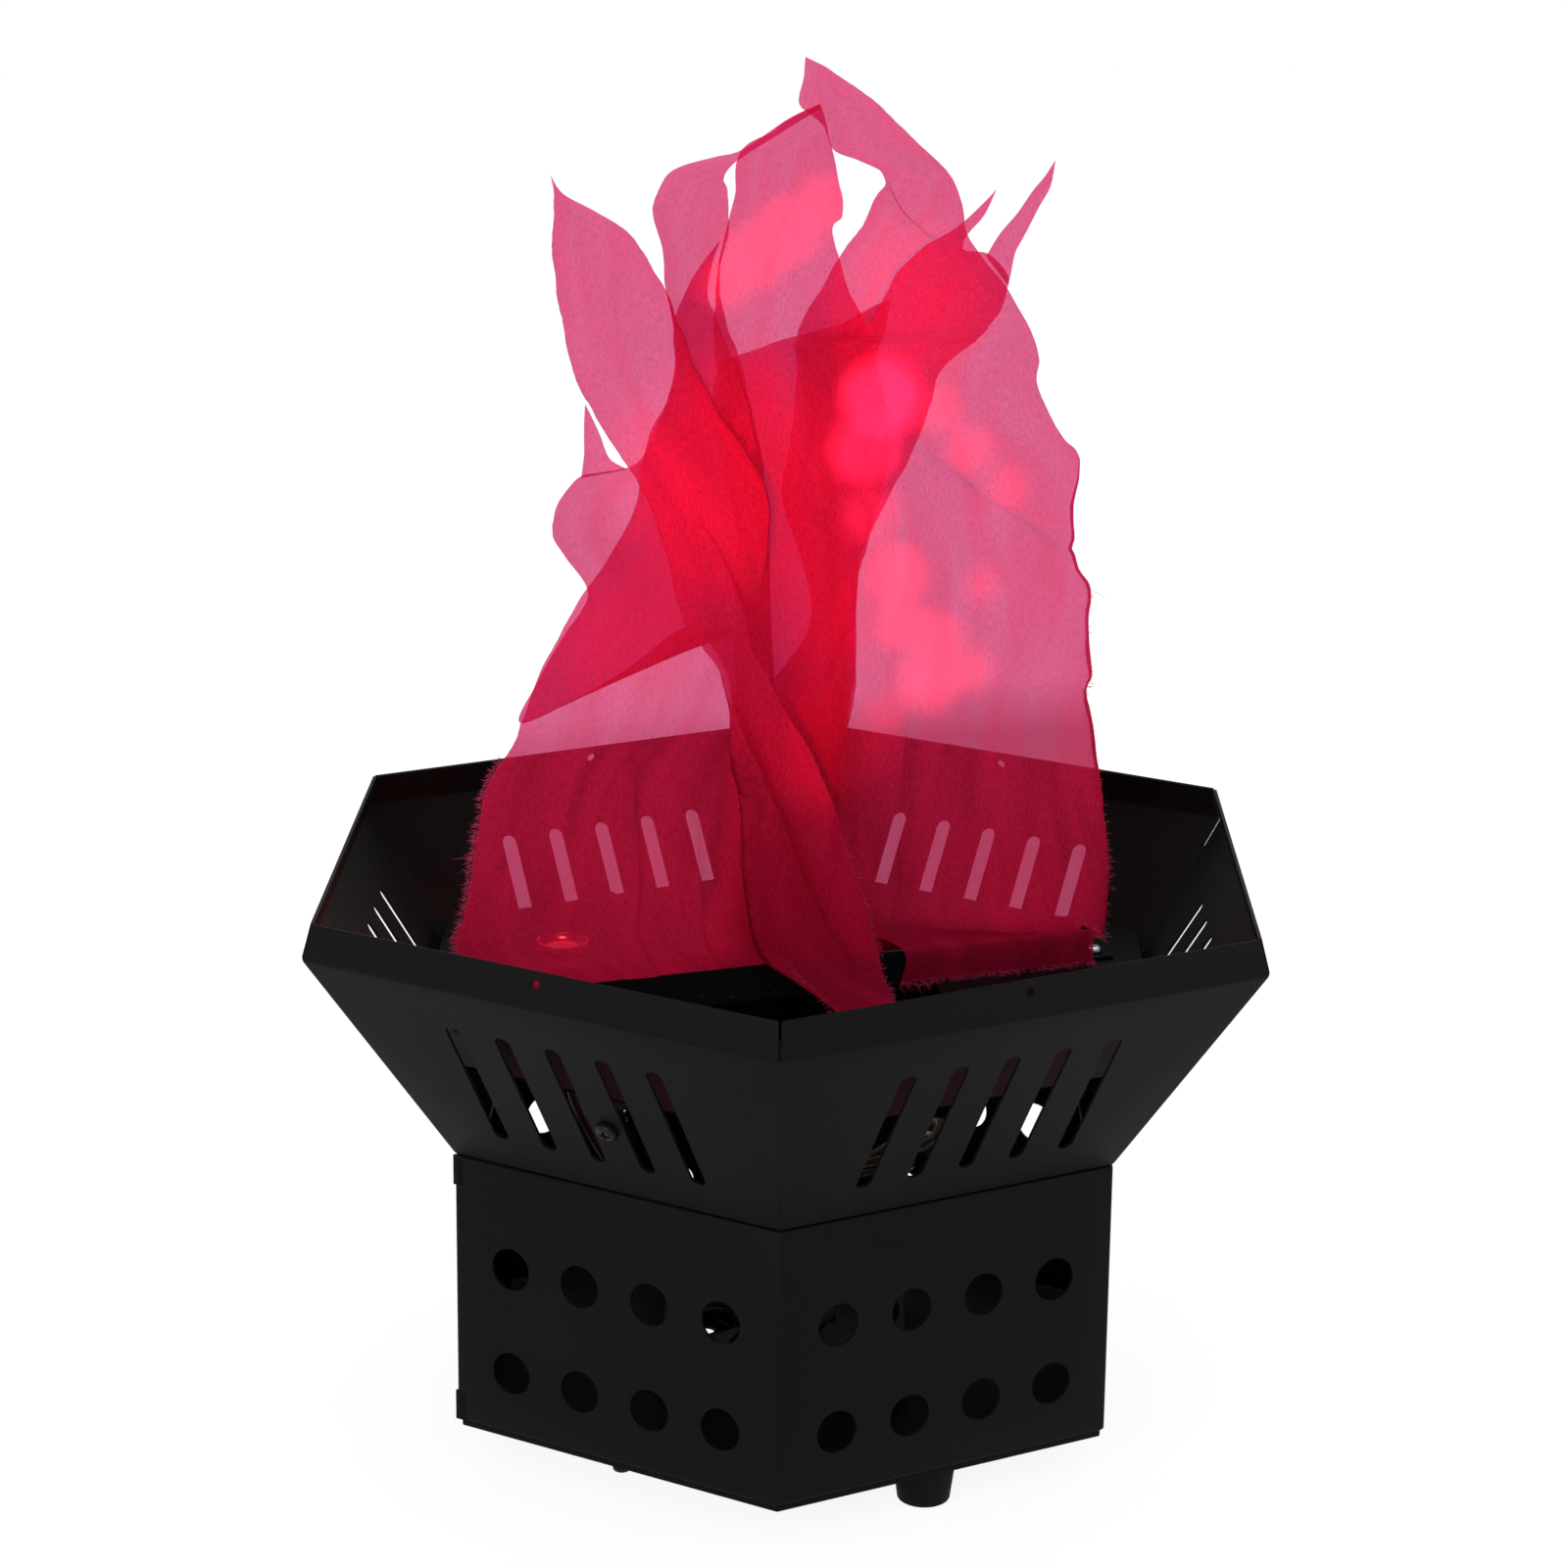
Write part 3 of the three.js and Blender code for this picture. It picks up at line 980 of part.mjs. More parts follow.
add(buildFanFrame(), 'fan_frame', BLACK_PLASTIC);
add(buildRotor(), 'fan_rotor', BLACK_PLASTIC);
add(buildShaft(), 'fan_shaft', BRIGHT_STEEL);
fanCorners().forEach(([x, y], n) => {
  const screw = panScrew(M4, FAN_SCREW_LENGTH).rotateX(Math.PI);
  add(screw.translate(x, y, PLATE_BOTTOM - FIT_GAP), `fan_screw_${n + 1}`, DARK_SCREW);
});

add(buildDriver(), 'driver_case', BLACK_PLASTIC);
add(buildInlet(), 'power_inlet', BLACK_PLASTIC);
add(buildInletNut(), 'inlet_nut', BRIGHT_STEEL);
for (const [name, route] of Object.entries(leadRoutes())) {
  add(buildLead(route), name, name.startsWith('lamp') ? ORANGE_LEAD : BLACK_LEAD);
}

add(buildTray(), 'flare_tray', BLACK_STEEL);
add(buildDeck(), 'deck', BLACK_STEEL);
TAB_PANELS.forEach((k, n) => {
  const nutTop = -2 * (SHEET + FIT_GAP);
  add(at(panScrew(M4, DECK_SCREW_LENGTH, HEAD_ROUND), trayPanel(k), DECK_TAB_SIDE, DECK_SCREW_RISE, FIT_GAP),
    `deck_screw_${n + 1}`, DARK_SCREW);
  add(at(hexNut(M4), trayPanel(k), DECK_TAB_SIDE, DECK_SCREW_RISE, nutTop - M4.nutHeight),
    `deck_nut_${n + 1}`, BRIGHT_STEEL);
});
add(buildCollar(), 'silk_collar', BLACK_STEEL);
collarEnds().forEach((spot, n) => {
  const seat = COLLAR_BOTTOM + SHEET + FIT_GAP;
  const screw = panScrew(M3, SHEET_SCREW_LENGTH);
  add(screw.translate(spot.x, spot.y, seat), `collar_screw_${n + 1}`, BRIGHT_STEEL);
});
lampSpots().forEach((spot, n) => {
  add(buildLens().translate(spot.x, spot.y, 0), `lamp_lens_${n + 1}`, CLEAR_LENS);
  add(buildBoard().translate(spot.x, spot.y, 0), `lamp_board_${n + 1}`, WHITE_BOARD);
  add(buildSink().translate(spot.x, spot.y, 0), `lamp_sink_${n + 1}`, ALUMINIUM);
});
for (const [name, leaf] of Object.entries(leaves)) add(buildLeaf(leaf), name, SILK_CLOTH);

export default model;
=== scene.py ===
import math
import random

import bmesh
import bpy
from mathutils import Matrix, Vector, noise


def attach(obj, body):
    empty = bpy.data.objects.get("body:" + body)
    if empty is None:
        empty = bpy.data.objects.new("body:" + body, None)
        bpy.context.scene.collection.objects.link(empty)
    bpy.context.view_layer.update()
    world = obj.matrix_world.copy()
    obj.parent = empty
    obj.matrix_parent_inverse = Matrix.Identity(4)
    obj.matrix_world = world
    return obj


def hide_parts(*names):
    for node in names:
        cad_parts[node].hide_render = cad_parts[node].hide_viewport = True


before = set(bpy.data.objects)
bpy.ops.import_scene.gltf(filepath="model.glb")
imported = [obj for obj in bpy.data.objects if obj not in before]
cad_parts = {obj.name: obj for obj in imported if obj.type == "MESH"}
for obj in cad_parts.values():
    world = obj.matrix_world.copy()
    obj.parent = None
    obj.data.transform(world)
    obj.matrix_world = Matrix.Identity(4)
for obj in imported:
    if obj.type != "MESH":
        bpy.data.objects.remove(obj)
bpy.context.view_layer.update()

MM = 0.001


def in_scene(name, data):
    """An object in the scene, made from its data."""
    made = bpy.data.objects.new(name, data)
    bpy.context.scene.collection.objects.link(made)
    return made


# ---------------------------------------------------------------------------
# Camera. The light is photographed from a little above the bowl's rim, with a
# corner of the hexagon nearly straight towards the lens.
camera_right = Vector((0.99977, 0.01845, 0.01085))
camera_up = Vector((-0.01547, 0.27284, 0.96194))
camera_look = Vector((-0.01478, 0.96188, -0.27306))
camera_place = Vector((0.017188, -1.26217, 0.570414))

camera_data = bpy.data.cameras.new("photo_camera")
camera_data.sensor_width = 36
camera_data.lens = 93.57
camera = in_scene("photo_camera", camera_data)
camera.matrix_world = Matrix.Translation(camera_place) @ Matrix(
    (camera_right, camera_up, -camera_look)
).transposed().to_4x4()
bpy.context.scene.camera = camera

# ---------------------------------------------------------------------------
# Room. A white floor and a white surround that the lens sees as pure white, lit
# softly by three softboxes: in front, on the right, and above.
ROOM_LIGHT = 0.55
FLOOR_GREY = (0.9, 0.9, 0.9, 1)
FLOOR_WHITE = 1.125
FLOOR_WHITE_SHARE = 0.8
SOFTBOX_AIM = (0, 0, 0.2)
WHITE = (1, 1, 1, 1)
MAXIMUM = {"operation": "MAXIMUM"}
# seen is 1 where the lens, a shine or a clear piece looks at the room.
SEEN = {"path": ("LightPath",), "looks": ("Math", {}, MAXIMUM), "seen": ("Math", {}, MAXIMUM)}
SEEN_LINKS = (
    "path.Is Camera Ray > looks.0", "path.Is Glossy Ray > looks.1", "looks.0 > seen.0",
    "path.Is Transmission Ray > seen.1",
)


def build_nodes(tree, parts, links):
    """Named nodes, each a kind with its input values and settings, and the links between them."""
    nodes = {"skin": tree.nodes.get("Principled BSDF")}
    for name, (kind, *rest) in parts.items():
        values, settings = [*rest, {}, {}][:2]
        node = nodes.get(name)
        if node is None:
            nodes[name] = node = tree.nodes.new("ShaderNode" + kind)
            node.name = name
        for key, value in settings.items():
            setattr(node, key, value)
        for key, value in values.items():
            node.inputs[key].default_value = value
    for link in links:
        (start, output), (end, socket) = [
            (name, int(key) if key.isdigit() else key)
            for name, key in [part.split(".") for part in link.split(" > ")]
        ]
        tree.links.new(nodes[start].outputs[output], nodes[end].inputs[socket])


def new_material(name, parts, links, bare=False):
    """A node material. A bare one starts without the principled shader, which is named skin."""
    made = bpy.data.materials.new(name)
    made.use_nodes = True
    if bare:
        made.node_tree.nodes.clear()
    build_nodes(made.node_tree, parts, links)
    return made


def add_light(name, kind, watts, place, aim=None, **settings):
    """A lamp of a kind at a place, turned to its aim."""
    data = bpy.data.lights.new(name, kind)
    data.energy = watts
    for key, value in settings.items():
        setattr(data, key, value)
    light = in_scene(name, data)
    light.location = place
    if aim is not None:
        light.rotation_euler = (Vector(aim) - light.location).to_track_quat("-Z", "Y").to_euler()


bpy.context.scene.view_settings.view_transform = "Standard"
room = bpy.data.worlds.new("white_room")
bpy.context.scene.world = room
room.use_nodes = True
room.node_tree.nodes.clear()
build_nodes(room.node_tree, {
    **SEEN, "white": ("Background", {"Color": WHITE}),
    "light": ("Background", {"Color": WHITE, "Strength": ROOM_LIGHT}),
    "mix": ("MixShader",), "out": ("OutputWorld",),
}, (*SEEN_LINKS, "seen.0 > mix.0", "light.0 > mix.1", "white.0 > mix.2", "mix.0 > out.0"))

floor_mesh = bmesh.new()
bmesh.ops.create_grid(floor_mesh, x_segments=1, y_segments=1, size=4)
floor_data = bpy.data.meshes.new("studio_floor")
floor_mesh.to_mesh(floor_data)
floor_mesh.free()
floor_data.materials.append(new_material("white_floor", {
    **SEEN, "matt": ("BsdfDiffuse", {"Color": FLOOR_GREY}),
    "white": ("Emission", {"Strength": FLOOR_WHITE}),
    "share": ("Math", {1: FLOOR_WHITE_SHARE}, {"operation": "MULTIPLY"}),
    "mix": ("MixShader",), "out": ("OutputMaterial",),
}, (
    *SEEN_LINKS, "seen.0 > share.0", "share.0 > mix.0", "matt.0 > mix.1", "white.0 > mix.2",
    "mix.0 > out.0",
), bare=True))
studio_floor = in_scene("studio_floor", floor_data)

for softbox, place, size, watts in (
    ("front_softbox", (-1.0, -1.8, 0.75), 1.4, 17), ("side_softbox", (1.9, -0.8, 0.7), 1.2, 7),
    ("top_softbox", (0.1, 0.6, 2.2), 1.6, 9),
):
    add_light(softbox, "AREA", watts, place, SOFTBOX_AIM, size=size)

# ---------------------------------------------------------------------------
# Workshop. What the pieces below share: places on the hexagon, folded, turned and
# cut shapes, two families of finish, and the body that each piece gets.
HEX_FLAT = math.cos(math.pi / 6)
UP = Vector((0, 0, 1))
RGBA = {"data_type": "RGBA"}
COAT_SHINE = 0.055
COAT_ROUGH = (0.44, 0.62)


def powder_coat(name, tone):
    """Black powder coat: a soft sheen broken up by a fine orange peel."""
    return new_material(name, {
        "skin": ("", {"Specular IOR Level": COAT_SHINE}), "place": ("TexCoord",),
        "grain": ("TexNoise", {"Scale": 1500, "Detail": 3}),
        "cloud": ("TexNoise", {"Scale": 14, "Detail": 4}),
        "tone": ("Mix", {
            "A": (tone * 0.8, tone * 0.8, tone * 0.82, 1),
            "B": (tone * 1.3, tone * 1.3, tone * 1.32, 1),
        }, RGBA),
        "rough": ("MapRange", {"To Min": COAT_ROUGH[0], "To Max": COAT_ROUGH[1]}),
        "bump": ("Bump", {"Strength": 0.35, "Distance": 0.00012}),
    }, (
        "place.Object > grain.Vector", "place.Object > cloud.Vector", "cloud.Fac > tone.Factor",
        "tone.Result > skin.Base Color", "grain.Fac > rough.Value", "rough.Result > skin.Roughness",
        "grain.Fac > bump.Height", "bump.Normal > skin.Normal",
    ))


def plain(name, colour, rough, metal=0.0, grain=0.0, scale=900.0, shine=0.5):
    """A moulded, plated or machined finish with a fine grain in colour, roughness and relief."""
    return new_material(name, {
        "skin": ("", {"Metallic": metal, "Specular IOR Level": shine}), "place": ("TexCoord",),
        "noise": ("TexNoise", {"Scale": scale, "Detail": 3}),
        "tone": ("Mix", {
            "A": (*[c * 0.85 for c in colour], 1), "B": (*[min(1, c * 1.15) for c in colour], 1),
        }, RGBA),
        "rough": ("MapRange", {"To Min": rough * 0.85, "To Max": min(1, rough * 1.15)}),
        "bump": ("Bump", {"Strength": grain, "Distance": 0.0001}),
    }, (
        "place.Object > noise.Vector", "noise.Fac > tone.Factor", "tone.Result > skin.Base Color",
        "noise.Fac > rough.Value", "rough.Result > skin.Roughness", "noise.Fac > bump.Height",
        "bump.Normal > skin.Normal",
    ))


def shift(x, y, z=0.0):
    """A move, as a matrix."""
    return Matrix.Translation((x, y, z))


def polar(radius, degrees):
    """A place at a radius and an angle about Z."""
    angle = math.radians(degrees)
    return radius * math.cos(angle), radius * math.sin(angle)


def side_degrees(side):
    """The way that one of the six sides faces."""
    return -60 + 60 * side


def side_matrix(side, apothem, bottom, tilt=0.0):
    """The plane of one of the six sides: x along it, y up it, z out of it, in millimetres."""
    out = Vector((*polar(1, side_degrees(side)), 0))
    across = Vector((-out.y, out.x, 0))
    slope = UP * math.cos(tilt) + out * math.sin(tilt)
    face = out * math.cos(tilt) - UP * math.sin(tilt)
    turned_to_side = Matrix((across, slope, face)).transposed().to_4x4()
    return shift(out.x * apothem, out.y * apothem, bottom) @ turned_to_side


def hexagon(radius):
    """The six corners of a hexagon with one of them to the front."""
    return [polar(radius, -90 + 60 * corner) for corner in range(6)]


def nut_outline(radius):
    """The six corners of a hexagon nut."""
    return [polar(radius, 60 * corner) for corner in range(6)]


def rounded_square(size, corner, steps=6):
    """The outline of a square with round corners."""
    inner = size / 2 - corner
    points = []
    for quarter, (x, y) in enumerate(((1, 1), (-1, 1), (-1, -1), (1, -1))):
        for step in range(steps + 1):
            over, up = polar(corner, 90 * quarter + 90 * step / steps)
            points.append((x * inner + over, y * inner + up))
    return points


def round_edges(mesh_maker, edges, width, segments=2, clamp=False):
    """Bevel some edges round."""
    bmesh.ops.bevel(
        mesh_maker, geom=edges, offset=width, segments=segments, profile=0.5, affect="EDGES",
        material=-1, clamp_overlap=clamp,
    )


def soften(mesh_maker, width, segments=2):
    """Round the sharp edges of a closed piece."""
    limit = math.radians(40)
    sharp = [e for e in mesh_maker.edges if len(e.link_faces) == 2 and e.calc_face_angle() > limit]
    round_edges(mesh_maker, sharp, width, segments, clamp=True)


def revolved(profile, first_way, steps, closed, merge):
    """A profile of (radius, height) swept once about Z from a first way."""
    made = bmesh.new()
    points = [made.verts.new(first_way * radius + UP * height) for radius, height in profile]
    edges = [made.edges.new(pair) for pair in zip(points, points[1:])]
    if closed:
        edges.append(made.edges.new((points[-1], points[0])))
    bmesh.ops.spin(
        made, geom=points + edges, axis=UP, cent=(0, 0, 0), angle=2 * math.pi, steps=steps,
        use_merge=True,
    )
    bmesh.ops.remove_doubles(made, verts=made.verts, dist=merge)
    bmesh.ops.recalc_face_normals(made, faces=made.faces)
    return made


def turned(profile, segments=48):
    """A turned solid about Z from a closed or axis-to-axis profile of (radius, height)."""
    return revolved(profile, Vector((1, 0, 0)), segments, profile[0][0] > 0, 0.001)


def folded_shell(profile, bend, thickness):
    """A hexagonal sheet: a profile of (vertex radius, height) swept round six sides, its folds
    rounded, and the sheet given its thickness inwards."""
    shell = revolved(profile, Vector((0, -1, 0)), 6, False, 0.01)
    round_edges(shell, [e for e in shell.edges if len(e.link_faces) == 2], bend, 3)
    bmesh.ops.recalc_face_normals(shell, faces=shell.faces)
    bmesh.ops.solidify(shell, geom=list(shell.faces), thickness=thickness)
    return shell


def prism(outline, bottom, top, softened=0.0, segments=2):
    """A closed upright prism on an outline of (x, y) points, with its sharp edges rounded."""
    made = bmesh.new()
    base = [made.verts.new((x, y, bottom)) for x, y in outline]
    raised = bmesh.ops.extrude_face_region(made, geom=[made.faces.new(base)])["geom"]
    lifted = [v for v in raised if isinstance(v, bmesh.types.BMVert)]
    bmesh.ops.translate(made, vec=(0, 0, top - bottom), verts=lifted)
    bmesh.ops.recalc_face_normals(made, faces=made.faces)
    if softened:
        soften(made, softened, segments)
    return made


def add_block(mesh_maker, size, matrix):
    """A block of a size, put in its place by a matrix."""
    block = bmesh.ops.create_cube(mesh_maker, size=1)["verts"]
    bmesh.ops.scale(mesh_maker, vec=size, verts=block)
    bmesh.ops.transform(mesh_maker, matrix=matrix, verts=block)


def add_peg(pegs, matrix, radius, stretch=0.0, depth=12, segments=32):
    """A round-ended cutter across a sheet, drawn out to a slot by stretch."""
    made = bmesh.ops.create_cone(
        pegs, cap_ends=True, segments=segments, radius1=radius, radius2=radius, depth=depth
    )["verts"]
    for vert in made:
        vert.co.y += math.copysign(stretch / 2, vert.co.y)
    bmesh.ops.transform(pegs, matrix=matrix, verts=made)


def drill(pegs, x, y, radius, middle=0.0, depth=60.0, segments=32):
    """An upright round cutter."""
    add_peg(pegs, shift(x, y, middle), radius, depth=depth, segments=segments)


def placed(mesh_maker, matrix):
    """The same bmesh moved to its place."""
    bmesh.ops.transform(mesh_maker, matrix=matrix, verts=mesh_maker.verts)
    return mesh_maker


def shade(mesh, degrees):
    """Smooth shading up to an angle, and sharp edges past it."""
    mesh.shade_smooth()
    mesh.set_sharp_from_angle(angle=math.radians(degrees))


def piece_from(mesh_maker, name, material, smooth_degrees=35):
    """A finished piece in metres from a bmesh in millimetres."""
    data = bpy.data.meshes.new(name)
    bmesh.ops.scale(mesh_maker, vec=(MM, MM, MM), verts=mesh_maker.verts)
    mesh_maker.to_mesh(data)
    mesh_maker.free()
    shade(data, smooth_degrees)
    data.materials.append(material)
    return in_scene(name, data)


def cut(piece, pegs, smooth_degrees=35, crossing=False):
    """Punch a bmesh of cutters out of a piece. Crossing cutters run into each other."""
    cutter = piece_from(pegs, piece.name + "_punch", piece.data.materials[0])
    modifier = piece.modifiers.new("punch", "BOOLEAN")
    modifier.operation = "DIFFERENCE"
    modifier.solver = "EXACT"
    modifier.use_self = crossing
    modifier.object = cutter
    bpy.context.view_layer.update()
    result = piece.evaluated_get(bpy.context.evaluated_depsgraph_get())
    done = bpy.data.meshes.new_from_object(result)
    piece.modifiers.clear()
    piece.data = done
    shade(done, smooth_degrees)
    bpy.data.objects.remove(cutter)


def finish_piece(piece, body, slot_name, *nodes):
    """The piece stands for these CAD nodes and moves with a body; its slot name is not used."""
    if nodes:
        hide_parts(*nodes)
    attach(piece, body)

# ---------------------------------------------------------------------------
# Box. One strip of 1 mm steel sheet is folded at six corners and joined at a
# seam, with its top and bottom edges turned in, eight round vents punched in
# each side, and a fine textured black powder coat baked on.
SHEET = 1.0
BOX_RADIUS = 119.65
BOX_BOTTOM = 15.3
BOX_TOP = 105.8
BOX_FLANGE = 7.0
VENT_RADIUS = 7.0
VENT_COLUMNS = (-39, -13, 13, 39)
VENT_ROWS = (20.7, 56.2)
INLET_SIDE = 2
INLET_HEIGHT = 38.5
INLET_HOLE = 5.5
M3_HOLE = 1.9
M4_HOLE = 2.4
TAB_SIDES = (5, 1, 3)
SEAM_SIDE = 5
SEAM_TAB_HEIGHTS = (5.0, 85.5)
BOX_APOTHEM = BOX_RADIUS * HEX_FLAT
BOX_SCREW_CIRCLE = BOX_APOTHEM - SHEET - BOX_FLANGE / 2
BOX_SCREW_SPOTS = [polar(BOX_SCREW_CIRCLE, side_degrees(side)) for side in TAB_SIDES]


def on_box(side, x, y, z=0.0):
    """A place on one side of the box, along it, up it and out of it."""
    return side_matrix(side, BOX_APOTHEM, BOX_BOTTOM) @ shift(x, y, z)


box_paint = powder_coat("box_powder_coat", 0.004)
inner_flange = BOX_RADIUS - (SHEET + BOX_FLANGE) / HEX_FLAT
box_shell = folded_shell(
    [(inner_flange, BOX_BOTTOM), (BOX_RADIUS, BOX_BOTTOM), (BOX_RADIUS, BOX_TOP),
     (inner_flange, BOX_TOP)], 0.9, SHEET,
)
folded_box = piece_from(box_shell, "folded_box", box_paint)
box_pegs = bmesh.new()
for side in range(6):
    for column in VENT_COLUMNS:
        for row in VENT_ROWS:
            add_peg(box_pegs, on_box(side, column, row), VENT_RADIUS)
add_peg(box_pegs, on_box(INLET_SIDE, 0, INLET_HEIGHT), INLET_HOLE)
for spot in BOX_SCREW_SPOTS:
    drill(box_pegs, *spot, M3_HOLE, BOX_BOTTOM, 220, 16)
cut(folded_box, box_pegs)
finish_piece(folded_box, "light", "black_steel", "base_box")

# The seam's two little tabs stand a millimetre past the left front corner.
seam_tabs = bmesh.new()
for low in SEAM_TAB_HEIGHTS:
    add_block(seam_tabs, (4.0, 10.0, 1.0), on_box(SEAM_SIDE, -58.8, low, -0.5))
round_edges(seam_tabs, list(seam_tabs.edges), 0.2)
finish_piece(piece_from(seam_tabs, "box_seam_tabs", box_paint), "light", "black_steel")

# ---------------------------------------------------------------------------
# Flared tray. Six trapezoid sides are folded out from the box's top edge and
# their tops are folded back in as a lip, slit at each corner. Five slots are
# punched in each side and a small hole in each lip.
TRAY_BOTTOM = 106.1
TRAY_FLANGE = 7.0
FOLD_RADIUS = 170.35
FOLD_HEIGHT = 178.1
RIM_RADIUS = 167.0
RIM_HEIGHT = 189.2
SLOT_WIDTH = 5.5
SLOT_LENGTH = 52.0
SLOT_MIDDLE = 40.5
SLOT_COLUMNS = (-36, -18, 0, 18, 36)
LIP_HOLE_HEIGHT = 7.4
LIP_HOLE = 1.5
SLIT = 0.9
OPEN_CORNER = 2
OPEN_SLIT = 1.5
OPEN_SLIT_DEPTH = 9
DECK_SCREW = (9.0, 32.3)
tray_tilt = math.atan2((FOLD_RADIUS - BOX_RADIUS) * HEX_FLAT, FOLD_HEIGHT - TRAY_BOTTOM)
lip_tilt = math.atan2((RIM_RADIUS - FOLD_RADIUS) * HEX_FLAT, RIM_HEIGHT - FOLD_HEIGHT)


def on_tray(side, x=0.0, y=0.0, z=0.0):
    """A place on one flared side of the tray, along it, up it and out of it."""
    return side_matrix(side, BOX_APOTHEM, TRAY_BOTTOM, tray_tilt) @ shift(x, y, z)


tray_shell = folded_shell(
    [(BOX_RADIUS - (SHEET + TRAY_FLANGE) / HEX_FLAT, TRAY_BOTTOM), (BOX_RADIUS, TRAY_BOTTOM),
     (FOLD_RADIUS, FOLD_HEIGHT), (RIM_RADIUS, RIM_HEIGHT)], 1.0, SHEET,
)
flared_tray = piece_from(tray_shell, "flared_tray", powder_coat("tray_powder_coat", 0.0042))
tray_pegs = bmesh.new()
for side in range(6):
    for column in SLOT_COLUMNS:
        add_peg(
            tray_pegs, on_tray(side, column, SLOT_MIDDLE), SLOT_WIDTH / 2,
            stretch=SLOT_LENGTH - SLOT_WIDTH, segments=24,
        )
    lip_plane = side_matrix(side, FOLD_RADIUS * HEX_FLAT, FOLD_HEIGHT, lip_tilt)
    add_peg(tray_pegs, lip_plane @ shift(0, LIP_HOLE_HEIGHT), LIP_HOLE, segments=20)
    depth, width = (OPEN_SLIT_DEPTH, OPEN_SLIT) if side == OPEN_CORNER else (0, SLIT)
    corner_turn = Matrix.Rotation(math.radians(-90 + 60 * side), 4, "Z")
    slit_middle = FOLD_HEIGHT - depth + (20 + depth) / 2
    add_block(tray_pegs, (16, width, 20 + depth), corner_turn @ shift(FOLD_RADIUS, 0, slit_middle))
for side in TAB_SIDES:
    add_peg(tray_pegs, on_tray(side, *DECK_SCREW), M4_HOLE, segments=20)
cut(flared_tray, tray_pegs)
finish_piece(flared_tray, "light", "black_steel", "flare_tray")

# ---------------------------------------------------------------------------
# Bottom plate. A laser-cut hexagon of 1.2 mm sheet with its edge folded down as
# a hem, holes under the fan, and holes for the feet, the fan and the screws.
PLATE_BOTTOM = 13.8
PLATE_TOP = 15.0
PLATE_RADIUS = 118.25
PLATE_HEM = 5.0
FOOT_CIRCLE = 91.5
FOOT_TOP_RADIUS = 10.0
FOOT_SPOTS = [polar(FOOT_CIRCLE, degrees) for degrees in (-60, 60, 180)]
INTAKE_RINGS = ((21, 6), (31.5, 12))
INTAKE_RADIUS = 3.5
FAN_BOTTOM = 15.3
FAN_HOLE_PITCH = 71.5
FAN_HOLE = 2.3
FAN_CORNERS = [
    (x * FAN_HOLE_PITCH / 2, y * FAN_HOLE_PITCH / 2)
    for x, y in ((1, 1), (-1, 1), (-1, -1), (1, -1))
]
plate_paint = powder_coat("plate_powder_coat", 0.003)
plate_shell = prism(hexagon(PLATE_RADIUS), PLATE_BOTTOM - 1.0, PLATE_TOP, 0.5)
base_plate = piece_from(plate_shell, "base_plate", plate_paint)
plate_pegs = bmesh.new()
for spot in FOOT_SPOTS:
    drill(plate_pegs, *spot, M4_HOLE)
for ring_radius, ring_count in INTAKE_RINGS:
    for step in range(ring_count):
        drill(plate_pegs, *polar(ring_radius, 360 * step / ring_count), INTAKE_RADIUS)
for spot in BOX_SCREW_SPOTS:
    drill(plate_pegs, *spot, M3_HOLE, segments=16)
for corner in FAN_CORNERS:
    drill(plate_pegs, *corner, M4_HOLE, segments=16)
cut(base_plate, plate_pegs)
hollow = hexagon(PLATE_RADIUS - PLATE_HEM / HEX_FLAT)
cut(base_plate, prism(hollow, PLATE_BOTTOM - 9, PLATE_BOTTOM))
foot_reliefs = bmesh.new()
for spot in FOOT_SPOTS:
    drill(foot_reliefs, *spot, FOOT_TOP_RADIUS + 0.4, PLATE_BOTTOM - 6, 12)
cut(base_plate, foot_reliefs)
finish_piece(base_plate, "light", "black_steel", "bottom_plate")

# ---------------------------------------------------------------------------
# Feet. Three moulded rubber cones, each with a well for its screw's head and a
# washer-flat top that bears on the bottom plate.
FOOT_HEIGHT = 13.5
FOOT_PROFILE = [
    (5, 0), (7.0, 0), (7.6, 0.15), (8.1, 0.5), (8.4, 1.0), (9.96, 13.0), (9.8, 13.4),
    (9.5, FOOT_HEIGHT), (2.4, FOOT_HEIGHT), (2.4, 5), (4.7, 5), (5, 4.7),
]
rubber = plain("moulded_rubber", (0.005, 0.005, 0.005), 0.75, grain=0.3, scale=500, shine=0.08)
for number, spot in enumerate(FOOT_SPOTS, 1):
    foot_cone = placed(turned(FOOT_PROFILE), shift(*spot))
    rubber_foot = piece_from(foot_cone, f"rubber_foot_{number}", rubber)
    finish_piece(rubber_foot, "light", "foot_rubber", f"foot_{number}")

# ---------------------------------------------------------------------------
# Screws and nuts. Pan head screws with a cross recess and a rolled thread, and
# plain hexagon nuts with chamfered corners.
M3 = {"shank": 1.5, "head": 2.9, "cap": 1.9, "nut": 3.1, "tall": 2.4, "pitch": 0.5}
M4 = {"shank": 2.0, "head": 3.7, "cap": 2.5, "nut": 4.0, "tall": 3.2, "pitch": 0.7}
THREAD_DEPTH = 0.3
FOOT_BOLT_SEAT = 4.7
FOOT_NUT_SEAT = 15.3
PLATE_SCREW_SEAT = 12.5
TRAY_SCREW_SEAT = 107.4
FAN_SCREW_SEAT = 13.5
DECK_SCREW_SEAT = 0.3
DECK_NUT_SEAT = -5.8
HEAD_DOWN = Matrix.Rotation(math.pi, 4, "X")
black_oxide = plain("black_oxide", (0.004, 0.004, 0.0045), 0.38, scale=1200, shine=0.16)
